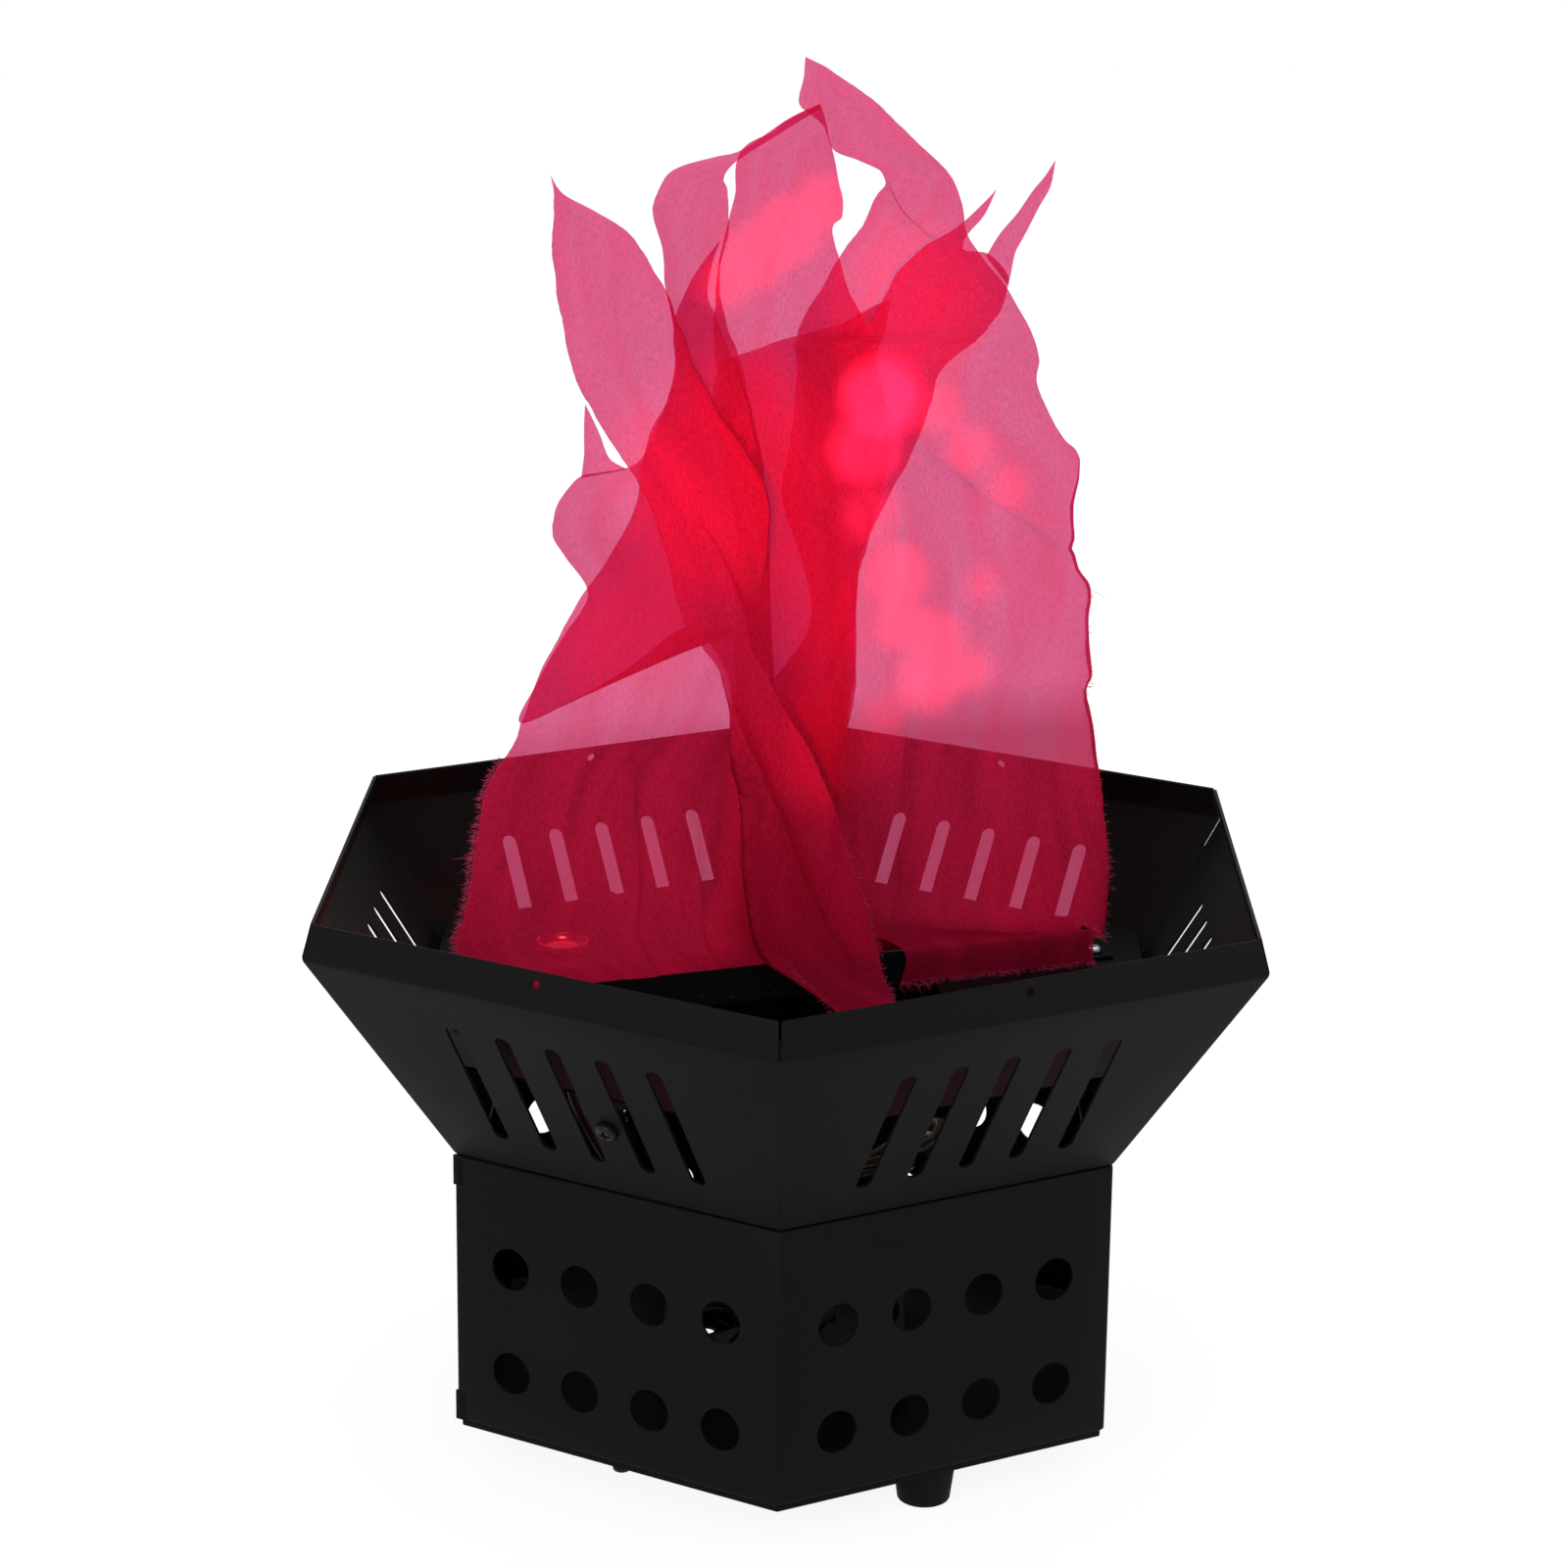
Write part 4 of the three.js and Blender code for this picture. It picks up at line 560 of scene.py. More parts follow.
zinc = plain("zinc_plate", (0.62, 0.63, 0.65), 0.28, metal=1.0, scale=1500)
screw_meshes = {}


def pan_screw(size, length):
    """A pan head screw, head above z = 0, with a thread of rings."""
    shank, head, cap, pitch = size["shank"], size["head"], size["cap"], size["pitch"]
    root = shank - THREAD_DEPTH
    profile = [(0, -length), (shank - 0.45, -length), (root, -length + 0.3)]
    for turn in range(int((length - 0.8) / pitch)):
        low = -length + 0.35 + turn * pitch
        profile += [(root, low), (shank, low + pitch * 0.45), (root, low + pitch * 0.9)]
    profile += [(root, -0.3), (shank, 0), (head - 0.15, 0), (head, 0.15), (head, cap * 0.42)]
    for step in range(1, 7):
        swing = step / 6 * math.pi / 2
        width = head * 0.52 + head * 0.48 * math.cos(swing)
        profile.append((width, cap * (0.42 + 0.52 * math.sin(swing))))
    profile.append((0, cap))
    return turned(profile, 32)


def cross_recess(size):
    """The cutter for the cross recess: two tapered bars."""
    bars = bmesh.new()
    for turn in (0, math.pi / 2):
        bar = bmesh.ops.create_cone(
            bars, cap_ends=True, segments=4, radius1=size["head"] * 0.25,
            radius2=size["head"] * 0.95, depth=size["cap"] * 0.9,
        )["verts"]
        bmesh.ops.rotate(bars, matrix=Matrix.Rotation(math.pi / 4, 3, "Z"), verts=bar)
        bmesh.ops.scale(bars, vec=(1, 0.24, 1), verts=bar)
        bmesh.ops.rotate(bars, matrix=Matrix.Rotation(turn, 3, "Z"), verts=bar)
        bmesh.ops.translate(bars, vec=(0, 0, size["cap"] * 0.72), verts=bar)
    return bars


def put_screw(name, node, size_name, length, matrix, material=black_oxide, slot_name="black_screw"):
    """One screw, made once for each size and length and copied to its place."""
    size = {"M3": M3, "M4": M4}[size_name]
    key = (size_name, length)
    if key not in screw_meshes:
        pattern = piece_from(pan_screw(size, length), f"{size_name}_{length}_pattern", material)
        cut(pattern, cross_recess(size), 40, crossing=True)
        screw_meshes[key] = pattern.data
        bpy.data.objects.remove(pattern)
    data = screw_meshes[key].copy()
    scaled = matrix.copy()
    scaled.translation = scaled.translation * MM
    data.transform(scaled)
    data.materials.clear()
    data.materials.append(material)
    finish_piece(in_scene(name, data), "light", slot_name, node)


def put_nut(
    name, node, outline, bottom, top, chamfer, bore_radius, bore_segments, matrix, smooth_degrees
):
    """One hexagon nut with its corners chamfered and its bore threaded clear."""
    nut = piece_from(placed(prism(outline, bottom, top, chamfer), matrix), name, zinc)
    bore = bmesh.new()
    add_peg(bore, matrix, bore_radius, depth=20, segments=bore_segments)
    cut(nut, bore, smooth_degrees)
    finish_piece(nut, "light", "bright_steel", node)


def put_m4_nut(name, node, matrix):
    """One M4 nut, from z = 0 up."""
    outline, bore = nut_outline(M4["nut"]), M4["shank"] + 0.2
    put_nut(name, node, outline, 0, M4["tall"], 0.18, bore, 24, matrix, 30)


for number, spot in enumerate(FOOT_SPOTS, 1):
    foot_bolt_place = shift(*spot, FOOT_BOLT_SEAT) @ HEAD_DOWN
    put_screw(f"foot_bolt_{number}", f"foot_screw_{number}", "M4", 14.8, foot_bolt_place)
    put_m4_nut(f"foot_hex_nut_{number}", f"foot_nut_{number}", shift(*spot, FOOT_NUT_SEAT))
for number, (side, spot) in enumerate(zip(TAB_SIDES, BOX_SCREW_SPOTS), 1):
    plate_screw_place = shift(*spot, PLATE_SCREW_SEAT) @ HEAD_DOWN
    tray_screw_place = shift(*spot, TRAY_SCREW_SEAT)
    deck_screw_place = on_tray(side, *DECK_SCREW, DECK_SCREW_SEAT)
    deck_nut_place = on_tray(side, *DECK_SCREW, DECK_NUT_SEAT)
    put_screw(f"plate_pan_screw_{number}", f"plate_screw_{number}", "M3", 5.0, plate_screw_place)
    put_screw(f"tray_pan_screw_{number}", f"tray_screw_{number}", "M3", 5.0, tray_screw_place)
    put_screw(f"deck_pan_screw_{number}", f"deck_screw_{number}", "M4", 8.0, deck_screw_place)
    put_m4_nut(f"deck_hex_nut_{number}", f"deck_nut_{number}", deck_nut_place)
for number, corner in enumerate(FAN_CORNERS, 1):
    fan_screw_place = shift(*corner, FAN_SCREW_SEAT) @ HEAD_DOWN
    put_screw(f"fan_pan_screw_{number}", f"fan_screw_{number}", "M4", 12.0, fan_screw_place)

# ---------------------------------------------------------------------------
# Fan. A moulded black 80 mm axial fan that blows upward: a square frame with a
# round duct, four struts to a motor plate, and a seven-blade rotor on a shaft.
FAN_SIZE = 80
FAN_TOP = 30.3
FAN_MIDDLE = (FAN_BOTTOM + FAN_TOP) / 2
DUCT_RADIUS = 38.3
HUB_RADIUS = 17.0
ROTOR_BOTTOM = 18.6
ROTOR_TOP = 29.6
BLADES = 7
BLADE_TIP = 37.3
BLADE_ROOT = HUB_RADIUS - 0.7
BLADE_ROWS = 10
BLADE_STEPS = 14
BLADE_THICKNESS = 1.2
fan_plastic = plain("fan_plastic", (0.006, 0.006, 0.0065), 0.5, grain=0.25, scale=700, shine=0.1)
fan_body = prism(rounded_square(FAN_SIZE, 5), FAN_BOTTOM, FAN_TOP, 0.5)
fan_housing = piece_from(fan_body, "fan_housing", fan_plastic)
fan_pegs = bmesh.new()
drill(fan_pegs, 0, 0, DUCT_RADIUS, 23, 40, 96)
for corner in FAN_CORNERS:
    drill(fan_pegs, *corner, FAN_HOLE, segments=24)
for quarter in range(4):
    quarter_turn = Matrix.Rotation(quarter * math.pi / 2, 4, "Z")
    add_block(fan_pegs, (50, 6, 8.6), quarter_turn @ shift(0, 41.9, FAN_MIDDLE))
cut(fan_housing, fan_pegs)
spider = turned([
    (0, FAN_BOTTOM), (15.6, FAN_BOTTOM), (16, FAN_BOTTOM + 0.4), (16, 17.4), (15.6, 17.8),
    (4, 17.8), (4, 24.8), (1.6, 24.8), (1.6, 16.3), (0, 16.3),
])
for strut in range(4):
    turn = Matrix.Rotation(math.pi / 4 + strut * math.pi / 2, 4, "Z")
    add_block(spider, (24.5, 5, 2.2), turn @ shift(27.6, 0, FAN_BOTTOM + 1.2))
fan_spider = piece_from(spider, "fan_motor_plate", fan_plastic)
finish_piece(fan_housing, "light", "black_plastic", "fan_frame")
finish_piece(fan_spider, "light", "black_plastic")


def blade_point(blade, reach, chord):
    """A point of a swept and cambered blade, from its root to its tip and across its chord."""
    radius = BLADE_ROOT + (BLADE_TIP - BLADE_ROOT) * reach
    angle = 2 * math.pi * blade / BLADES + math.radians(chord * (46 + reach) + 14 * reach * reach)
    height = (ROTOR_BOTTOM + ROTOR_TOP) / 2 + chord * 8.6 + 1.2 * (1 - 4 * chord * chord) - 0.6
    return radius * math.cos(angle), radius * math.sin(angle), height


rotor = turned([
    (15.5, ROTOR_BOTTOM), (HUB_RADIUS, ROTOR_BOTTOM), (HUB_RADIUS, 28.2), (16.7, 28.9), (16.2, 29.4),
    (15.4, ROTOR_TOP), (1.8, ROTOR_TOP), (1.8, 28.1), (15.5, 28.1),
], 64)
for blade in range(BLADES):
    grid = [
        [rotor.verts.new(blade_point(blade, row / BLADE_ROWS, step / BLADE_STEPS - 0.5))
         for step in range(BLADE_STEPS + 1)]
        for row in range(BLADE_ROWS + 1)
    ]
    faces = [
        rotor.faces.new((low[step], high[step], high[step + 1], low[step + 1]))
        for low, high in zip(grid, grid[1:]) for step in range(BLADE_STEPS)
    ]
    bmesh.ops.recalc_face_normals(rotor, faces=faces)
    bmesh.ops.solidify(rotor, geom=faces, thickness=-BLADE_THICKNESS)
fan_impeller = piece_from(rotor, "fan_impeller", fan_plastic)
finish_piece(fan_impeller, "impeller", "black_plastic", "fan_rotor")
axle = turned([
    (0, 16.6), (1.3, 16.6), (1.5, 16.8), (1.5, 29.4), (1.3, ROTOR_TOP), (0, ROTOR_TOP),
], 32)
finish_piece(piece_from(axle, "fan_axle", zinc), "impeller", "bright_steel", "fan_shaft")

# ---------------------------------------------------------------------------
# Driver and inlet. The lamps' driver is a moulded two-part case on the bottom
# plate. The inlet is a turned barrel socket held in the back panel by its nut.
DRIVER_PLACE = 69
DRIVER_SIZE = (56, 34)
DRIVER_HEIGHTS = (15.3, 35.3)
DRIVER_GROOVE = (28.6, 29.0)


def driver_outline(grow=0.0):
    """The driver's outline, grown or shrunk in length and width."""
    length, width = [size + grow for size in DRIVER_SIZE]
    return [(x * length / 80, y * width / 80 + DRIVER_PLACE) for x, y in rounded_square(80, 6)]


driver_shell = prism(driver_outline(), *DRIVER_HEIGHTS, 0.8, 3)
driver_box = piece_from(driver_shell, "driver_box", fan_plastic)
groove_shell = prism(driver_outline(2), *DRIVER_GROOVE)
groove_ring = piece_from(groove_shell, "driver_groove_ring", fan_plastic)
cut(groove_ring, prism(driver_outline(-0.8), 28, 29.6))
groove_cutter = bmesh.new()
groove_cutter.from_mesh(groove_ring.data)
bmesh.ops.scale(groove_cutter, vec=(1 / MM, 1 / MM, 1 / MM), verts=groove_cutter.verts)
bpy.data.objects.remove(groove_ring)
cut(driver_box, groove_cutter)
finish_piece(driver_box, "light", "black_plastic", "driver_case")

inlet_place = on_box(INLET_SIDE, 0, INLET_HEIGHT)
barrel = turned([
    (0, -15.7), (4.9, -15.7), (5.2, -15.4), (5.2, 0.3), (7.0, 0.3), (7.2, 0.5), (7.2, 1.9),
    (6.8, 2.3), (3.4, 2.3), (3, 1.9), (3, -7.7), (1, -7.7), (1, 0.1), (0.8, 0.3), (0, 0.3),
])
inlet_socket = piece_from(placed(barrel, inlet_place), "inlet_socket", fan_plastic)
finish_piece(inlet_socket, "light", "black_plastic", "power_inlet")
put_nut(
    "inlet_ring_nut", "inlet_nut", nut_outline(8.2), -3.5, -1.3, 0.25, INLET_HOLE, 32,
    inlet_place, 35,
)

# ---------------------------------------------------------------------------
# Leads. Insulated two-core leads inside the box: orange ones from the lamps and
# black ones from the fan and from the inlet, all to the driver.
LEAD_RADIUS = 1.6
LEAD_SIDES = 12
LEAD_STEPS = 8
lead_routes = {
    "lamp_lead_1": ((-76.7, 39.6, 126.5), (-76.7, 39.6, 118.5), (-74, 46, 88.1), (-62, 58, 58.1),
                    (-46, 69, 32), (-36.3, 69, 25.3), (-28.3, 69, 25.3)),
    "lamp_lead_2": ((70.7, 49.5, 126.5), (70.7, 49.5, 118.5), (76, 47, 88.1), (70, 58, 58.1),
                    (48, 63, 32), (36.3, 62.9, 25.3), (28.3, 62.9, 25.3)),
    "lamp_lead_3": ((4.1, -86.2, 126.5), (4.1, -86.2, 118.5), (12, -66, 104.2), (44, -20, 96.2),
                    (50, 24, 88.2), (30, 56, 64.1), (10.1, 69, 43.6), (10.1, 69, 35.6)),
    "inlet_lead": ((43.8, 75.9, 53.8), (39.8, 69, 53.8), (26, 66, 52.1), (20.2, 75.1, 43.6),
                   (20.2, 75.1, 35.6)),
    "fan_lead": ((11.8, 40.3, 22.8), (11.8, 44.3, 22.8), (11.8, 47.7, 25.3), (11.8, 51.7, 25.3)),
}


def along(points, where):
    """A point on the Catmull-Rom curve through points, counted in points from the first."""
    last = len(points) - 1
    here = min(int(where), last - 1)
    p, q, r, s = [points[max(0, min(last, here + n))] for n in (-1, 0, 1, 2)]
    t = where - here
    return 0.5 * (
        2 * q + (r - p) * t + (2 * p - 5 * q + 4 * r - s) * t * t
        + (3 * q - p - 3 * r + s) * t * t * t
    )


def tube(points, radius, sides):
    """A round tube along a list of points, closed at both ends."""
    made = bmesh.new()
    rings = []
    side_way = None
    for n, point in enumerate(points):
        way = (points[min(n + 1, len(points) - 1)] - points[max(n - 1, 0)]).normalized()
        if side_way is None:
            side_way = way.orthogonal().normalized()
        side_way = (side_way - way * side_way.dot(way)).normalized()
        other = way.cross(side_way)
        swings = [2 * math.pi * step / sides for step in range(sides)]
        rings.append([
            made.verts.new(point + (side_way * math.cos(swing) + other * math.sin(swing)) * radius)
            for swing in swings
        ])
    for first, second in zip(rings, rings[1:]):
        for step in range(sides):
            after = (step + 1) % sides
            made.faces.new((first[step], first[after], second[after], second[step]))
    made.faces.new(list(reversed(rings[0])))
    made.faces.new(rings[-1])
    return made


lamp_insulation = plain("orange_insulation", (0.06, 0.018, 0.008), 0.45)
black_insulation = plain("black_insulation", (0.01, 0.01, 0.01), 0.35)
for node, route in lead_routes.items():
    route_points = [Vector(p) for p in route]
    steps = LEAD_STEPS * (len(route) - 1)
    smooth = [along(route_points, n / LEAD_STEPS) for n in range(steps + 1)]
    lamp_lead = node.startswith("lamp")
    lead = piece_from(
        tube(smooth, LEAD_RADIUS, LEAD_SIDES), f"round_{node}",
        lamp_insulation if lamp_lead else black_insulation, 60,
    )
    finish_piece(lead, "light", "orange_lead" if lamp_lead else "black_lead", node)

# ---------------------------------------------------------------------------
# Deck. A flat hexagon of sheet that hangs on three bent tabs inside the tray,
# with a round opening over the fan and a hole for each lamp.
DECK_TOP = 142.7
DECK_BOTTOM = 141.7
DECK_MIDDLE = DECK_TOP - 0.5
DECK_GAP = 8.2
DECK_OPENING = 50.0
TAB_LAYER = -1.8
TAB_REACH = 6
TAB_BEND = 1.6
TAB_THICKNESS = 0.98
COLLAR_TURN = math.radians(21.5)
COLLAR_SCREW = 109.0
LAMP_CIRCLE = 86.3
LAMP_ANGLES = (152.7, 35, -87.3)
LENS_BODY_RADIUS = 8.8
deck_apothem = BOX_APOTHEM + (DECK_TOP - TRAY_BOTTOM) * math.tan(tray_tilt) - DECK_GAP
deck_shell = prism(hexagon(deck_apothem / HEX_FLAT), DECK_BOTTOM, DECK_TOP)
lamp_deck = piece_from(deck_shell, "lamp_deck", plate_paint)
deck_pegs = bmesh.new()
drill(deck_pegs, 0, 0, DECK_OPENING, DECK_TOP, 20, 96)
for degrees in LAMP_ANGLES:
    drill(deck_pegs, *polar(LAMP_CIRCLE, degrees), LENS_BODY_RADIUS + 0.3, DECK_TOP, 20, 40)
for reach in (COLLAR_SCREW, -COLLAR_SCREW):
    screw_spot = (reach * math.cos(COLLAR_TURN), reach * math.sin(COLLAR_TURN))
    drill(deck_pegs, *screw_spot, M3_HOLE, DECK_TOP, 20, 20)
cut(lamp_deck, deck_pegs)
finish_piece(lamp_deck, "light", "black_steel", "deck")

# Each tab runs up the tray's side, under its screw, and bends in below the deck.
tabs = bmesh.new()
top_slope = (DECK_TOP - TRAY_BOTTOM + TAB_LAYER * math.sin(tray_tilt)) / math.cos(tray_tilt)
for side in TAB_SIDES:
    out = Vector((*polar(1, side_degrees(side)), 0))
    across = Vector((-out.y, out.x, 0))
    low = on_tray(side) @ Vector((0, DECK_SCREW[1] - TAB_REACH, TAB_LAYER))
    high = on_tray(side) @ Vector((0, top_slope - 0.5, TAB_LAYER))
    high.z = DECK_MIDDLE
    inner = out * (deck_apothem - TAB_REACH) + UP * DECK_MIDDLE
    columns = [across * (DECK_SCREW[0] + offset) for offset in (-TAB_REACH, TAB_REACH)]
    grid = [[tabs.verts.new(point + column) for column in columns] for point in (low, high, inner)]
    for (first, second), (third, fourth) in zip(grid, grid[1:]):
        tabs.faces.new((first, second, fourth, third))
    round_edges(tabs, [e for e in tabs.edges if set(e.verts) == set(grid[1])], TAB_BEND, 4)
bmesh.ops.recalc_face_normals(tabs, faces=tabs.faces)
bmesh.ops.solidify(tabs, geom=list(tabs.faces), thickness=TAB_THICKNESS)
bmesh.ops.recalc_face_normals(tabs, faces=tabs.faces)
deck_tabs = piece_from(tabs, "deck_tabs", plate_paint)
tab_pegs = bmesh.new()
for side in TAB_SIDES:
    add_peg(tab_pegs, on_tray(side, *DECK_SCREW, -2), M4_HOLE, depth=6)
cut(deck_tabs, tab_pegs)
finish_piece(deck_tabs, "light", "black_steel")

# ---------------------------------------------------------------------------
# Collar. A long low frame of folded sheet across the deck, with a foot and a
# screw at each end. The silk's hems are bonded to its long walls.
COLLAR_LENGTH = 208.0
COLLAR_WIDTH = 17.0
COLLAR_BOTTOM = 143.0
COLLAR_TOP = 154.6
COLLAR_BEND = 1.4
COLLAR_FOOT = (11, 12, SHEET)
COLLAR_SCREW_SEAT = 144.3
half_long = COLLAR_LENGTH / 2
half_wide = COLLAR_WIDTH / 2
wall_corners = (
    (-half_long, -half_wide), (half_long, -half_wide),
    (half_long, half_wide), (-half_long, half_wide),
)
collar_walls = bmesh.new()
lower, upper = [
    [collar_walls.verts.new((x, y, z)) for x, y in wall_corners]
    for z in (COLLAR_BOTTOM, COLLAR_TOP)
]
for corner in range(4):
    after = (corner + 1) % 4
    collar_walls.faces.new((lower[corner], lower[after], upper[after], upper[corner]))
upright = [e for e in collar_walls.edges if abs(e.verts[0].co.z - e.verts[1].co.z) > 1]
round_edges(collar_walls, upright, COLLAR_BEND, 4)
bmesh.ops.recalc_face_normals(collar_walls, faces=collar_walls.faces)
bmesh.ops.solidify(collar_walls, geom=list(collar_walls.faces), thickness=SHEET)
for end in (1, -1):
    foot_place = shift(end * (half_long + 4.5), 0, COLLAR_BOTTOM + SHEET / 2)
    add_block(collar_walls, COLLAR_FOOT, foot_place)
collar_place = Matrix.Rotation(COLLAR_TURN, 4, "Z")
silk_frame = piece_from(placed(collar_walls, collar_place), "silk_frame", plate_paint)
collar_pegs = bmesh.new()
for end in (1, -1):
    hole_place = collar_place @ shift(end * COLLAR_SCREW, 0, COLLAR_BOTTOM)
    add_peg(collar_pegs, hole_place, M3_HOLE, depth=8)
cut(silk_frame, collar_pegs)
finish_piece(silk_frame, "light", "black_steel", "silk_collar")
for number, end in ((1, 1), (2, -1)):
    put_screw(
        f"collar_pan_screw_{number}", f"collar_screw_{number}", "M3", 5.0,
        collar_place @ shift(end * COLLAR_SCREW, 0, COLLAR_SCREW_SEAT), zinc, "bright_steel",
    )

# ---------------------------------------------------------------------------
# Lamps. Three red LED lamps in the deck: a clear moulded lens with a flange, a
# white board with the LED on it, and a finned aluminium cup underneath.
LENS_SEAT = 143.0
LENS_RADIUS = 10
LENS_EMISSION = 8.0
LENS_DOME = [
    (9.0 * math.cos(swing), 145.0 + 1.15 * math.sin(swing))
    for swing in [n * math.pi / 16 for n in range(1, 8)]
]
LENS_PROFILE = [
    (0, 134.0), (4.2, 134.0), (4.5, 134.3), (8.6, 139.7), (LENS_BODY_RADIUS, 140.1),
    (LENS_BODY_RADIUS, LENS_SEAT), (9.8, LENS_SEAT), (LENS_RADIUS, 143.2), (LENS_RADIUS, 144.3),
    (9.8, 144.5), (9.2, 144.5), *LENS_DOME, (0, 146.1),
]
BOARD_PROFILE = [(0, 132.1), (9.4, 132.1), (9.6, 132.3), (9.6, 133.5), (9.4, 133.7), (0, 133.7)]
FIN_STEPS = ((0, 10.6), (0.1, 13), (0.3, 13.0), (0.5, 13), (0.6, 10.6), (0.8, 10.6))
FIN_OUTLINE = [polar(radius, (fin + step) * 40) for fin in range(9) for step, radius in FIN_STEPS]
SINK_HEIGHTS = (126.8, 141.4)
SINK_WELL = 9.9
SINK_WIRE_HOLE = 2.0
LAMP_GLOWS = (0.05, 0.008, 0.005)
LAMP_GLOW_HEIGHT = Vector((0, 0, 155))
# The lens is lit in rings: each step is a share of its radius and its colour there.
LENS_RINGS = (
    (0.05, (1, 0.5, 0.42, 1)), (0.98, (0.03, 0, 0, 1)), (0.12, (0.5, 0.02, 0.01, 1)),
    (0.24, (0.05, 0, 0, 1)), (0.8, (0.02, 0, 0, 1)), (0.86, (0.2, 0.004, 0.002, 1)),
    (0.9, (0.02, 0, 0, 1)),
)
lens_glow = new_material("lit_red_lens", {
    "skin": ("", {
        "Roughness": 0.12, "Base Color": (0.03, 0.002, 0.002, 1),
        "Emission Strength": LENS_EMISSION,
    }),
    "map": ("UVMap", {}, {"uv_map": "lens"}), "reach": ("VectorMath", {}, {"operation": "LENGTH"}),
    "level": ("ValToRGB",),
}, ("map.UV > reach.0", "reach.Value > level.Fac", "level.Color > skin.Emission Color"))
rings = lens_glow.node_tree.nodes["level"].color_ramp.elements
for number, (reach, colour) in enumerate(LENS_RINGS):
    ring = rings[number] if number < 2 else rings.new(reach)
    ring.position = reach
    ring.color = colour
board_white = plain("white_board", (0.78, 0.78, 0.74), 0.45)
aluminium = plain("bare_aluminium", (0.55, 0.56, 0.58), 0.35, metal=1.0, grain=0.1)
for number, degrees in enumerate(LAMP_ANGLES, 1):
    spot = shift(*polar(LAMP_CIRCLE, degrees))
    lens = turned(LENS_PROFILE)
    lens_uv = lens.loops.layers.uv.new("lens")
    for face in lens.faces:
        for loop in face.loops:
            loop[lens_uv].uv = (loop.vert.co.x / LENS_RADIUS, loop.vert.co.y / LENS_RADIUS)
    lamp_lens = piece_from(placed(lens, spot), f"red_lens_{number}", lens_glow)
    finish_piece(lamp_lens, "light", "lens", f"lamp_lens_{number}")
    disc = placed(turned(BOARD_PROFILE), spot)
    lamp_board = piece_from(disc, f"led_board_{number}", board_white)
    finish_piece(lamp_board, "light", "led_board", f"lamp_board_{number}")
    fins = prism(FIN_OUTLINE, *SINK_HEIGHTS, 0.2)
    lamp_sink = piece_from(placed(fins, spot), f"finned_cup_{number}", aluminium)
    well = bmesh.new()
    add_peg(well, spot @ shift(0, 0, 137), SINK_WELL, depth=10.4, segments=48)
    add_peg(well, spot @ shift(0, 0, 128), SINK_WIRE_HOLE, depth=16, segments=24)
    cut(lamp_sink, well, crossing=True)
    finish_piece(lamp_sink, "light", "sink_aluminium", f"lamp_sink_{number}")
    add_light(
        f"lamp_glow_{number}", "POINT", LAMP_GLOWS[number - 1],
        (spot.translation + LAMP_GLOW_HEIGHT) * MM, color=(1.0, 0.08, 0.04), shadow_soft_size=0.01,
    )

# ---------------------------------------------------------------------------
# Light on the silk. Narrow red spots in front of the leaves make the patches that
# the lamps throw on them, and wide soft ones lift the layers that lie double. Each
# is a target in millimetres, a spread in degrees and a power in watts.
SPOT_WAY = Vector((0, -1, 0.1)).normalized()
PATCH_SPOTS = (
    ((-23, 18, 371), 7.1, 1.6), ((-13, 18, 380), 8.5, 2.0), ((-3, 18, 388), 8.9, 2.0),
    ((8, 18, 397), 7.4, 1.6), ((45, 28, 330), 7.0, 1.5), ((56, 30, 317), 7.0, 1.4),
    ((68, 32, 304), 6.5, 1.1), ((33, 20, 277), 8.2, 1.8), ((36, 20, 260), 7.2, 1.8),
    ((48, 22, 256), 7.0, 1.8), ((44, 22, 241), 9.2, 2.0), ((58, 24, 244), 6.3, 1.5),
    ((31, 18, 232), 5.8, 0.6), ((61, 26, 272), 5.3, 1.0),
)
PALE_SPOTS = (((27, 3, 338), 10.3, 7.0), ((22, 2, 321), 9.0, 4.0), ((24, 3, 300), 8.0, 1.6))
WASH_SPOTS = (
    ((-22, 10, 312), 11.0, 11.0), ((36, 8, 366), 7.5, 11.0), ((16, 5, 270), 7.0, 8.0),
    ((-50, -10, 262), 7.0, 5.0), ((12, 0, 226), 6.0, 7.0),
)
for kind, distance, blend, colour, spots in (
    ("patch", 150.0, 0.6, (1.0, 0.12, 0.03), PATCH_SPOTS),
    ("pale", 150.0, 0.6, (1.0, 0.8, 0.6), PALE_SPOTS),
    ("wash", 500.0, 1.0, (1.0, 0.05, 0.03), WASH_SPOTS),
):
    for number, (target, spread, watts) in enumerate(spots, 1):
        add_light(
            f"red_{kind}_{number}", "SPOT", watts, (Vector(target) + SPOT_WAY * distance) * MM,
            Vector(target) * MM, color=colour, spot_size=math.radians(spread), spot_blend=blend,
            shadow_soft_size=0.004,
        )

# ---------------------------------------------------------------------------
# Silk. Thin red habotai, dyed in the piece and cut to flame shapes. Its weave
# lets half of the light straight through, and its cut edges fray.
SILK_DYE = (0.9, 0.018, 0.095, 1)
SILK_CLEAR = (0.68, 0.21, 0.42)
SILK_STEP = 1.5
FOLD_WAVES = 1.6
TAPER_WIDTH = 12
ROLL_FADE = 0.06
ROLL_STEPS = 3
DROOP = Vector((0, 0, -0.35))
HEM_WAY = Vector((0, -0.8, -0.7))
WALL_OFFSETS = {"near_front": 9.05, "near_inside": 6.95, "far_inside": -6.95, "far_back": -9.05}
MULTIPLY_ADD = {"operation": "MULTIPLY_ADD"}
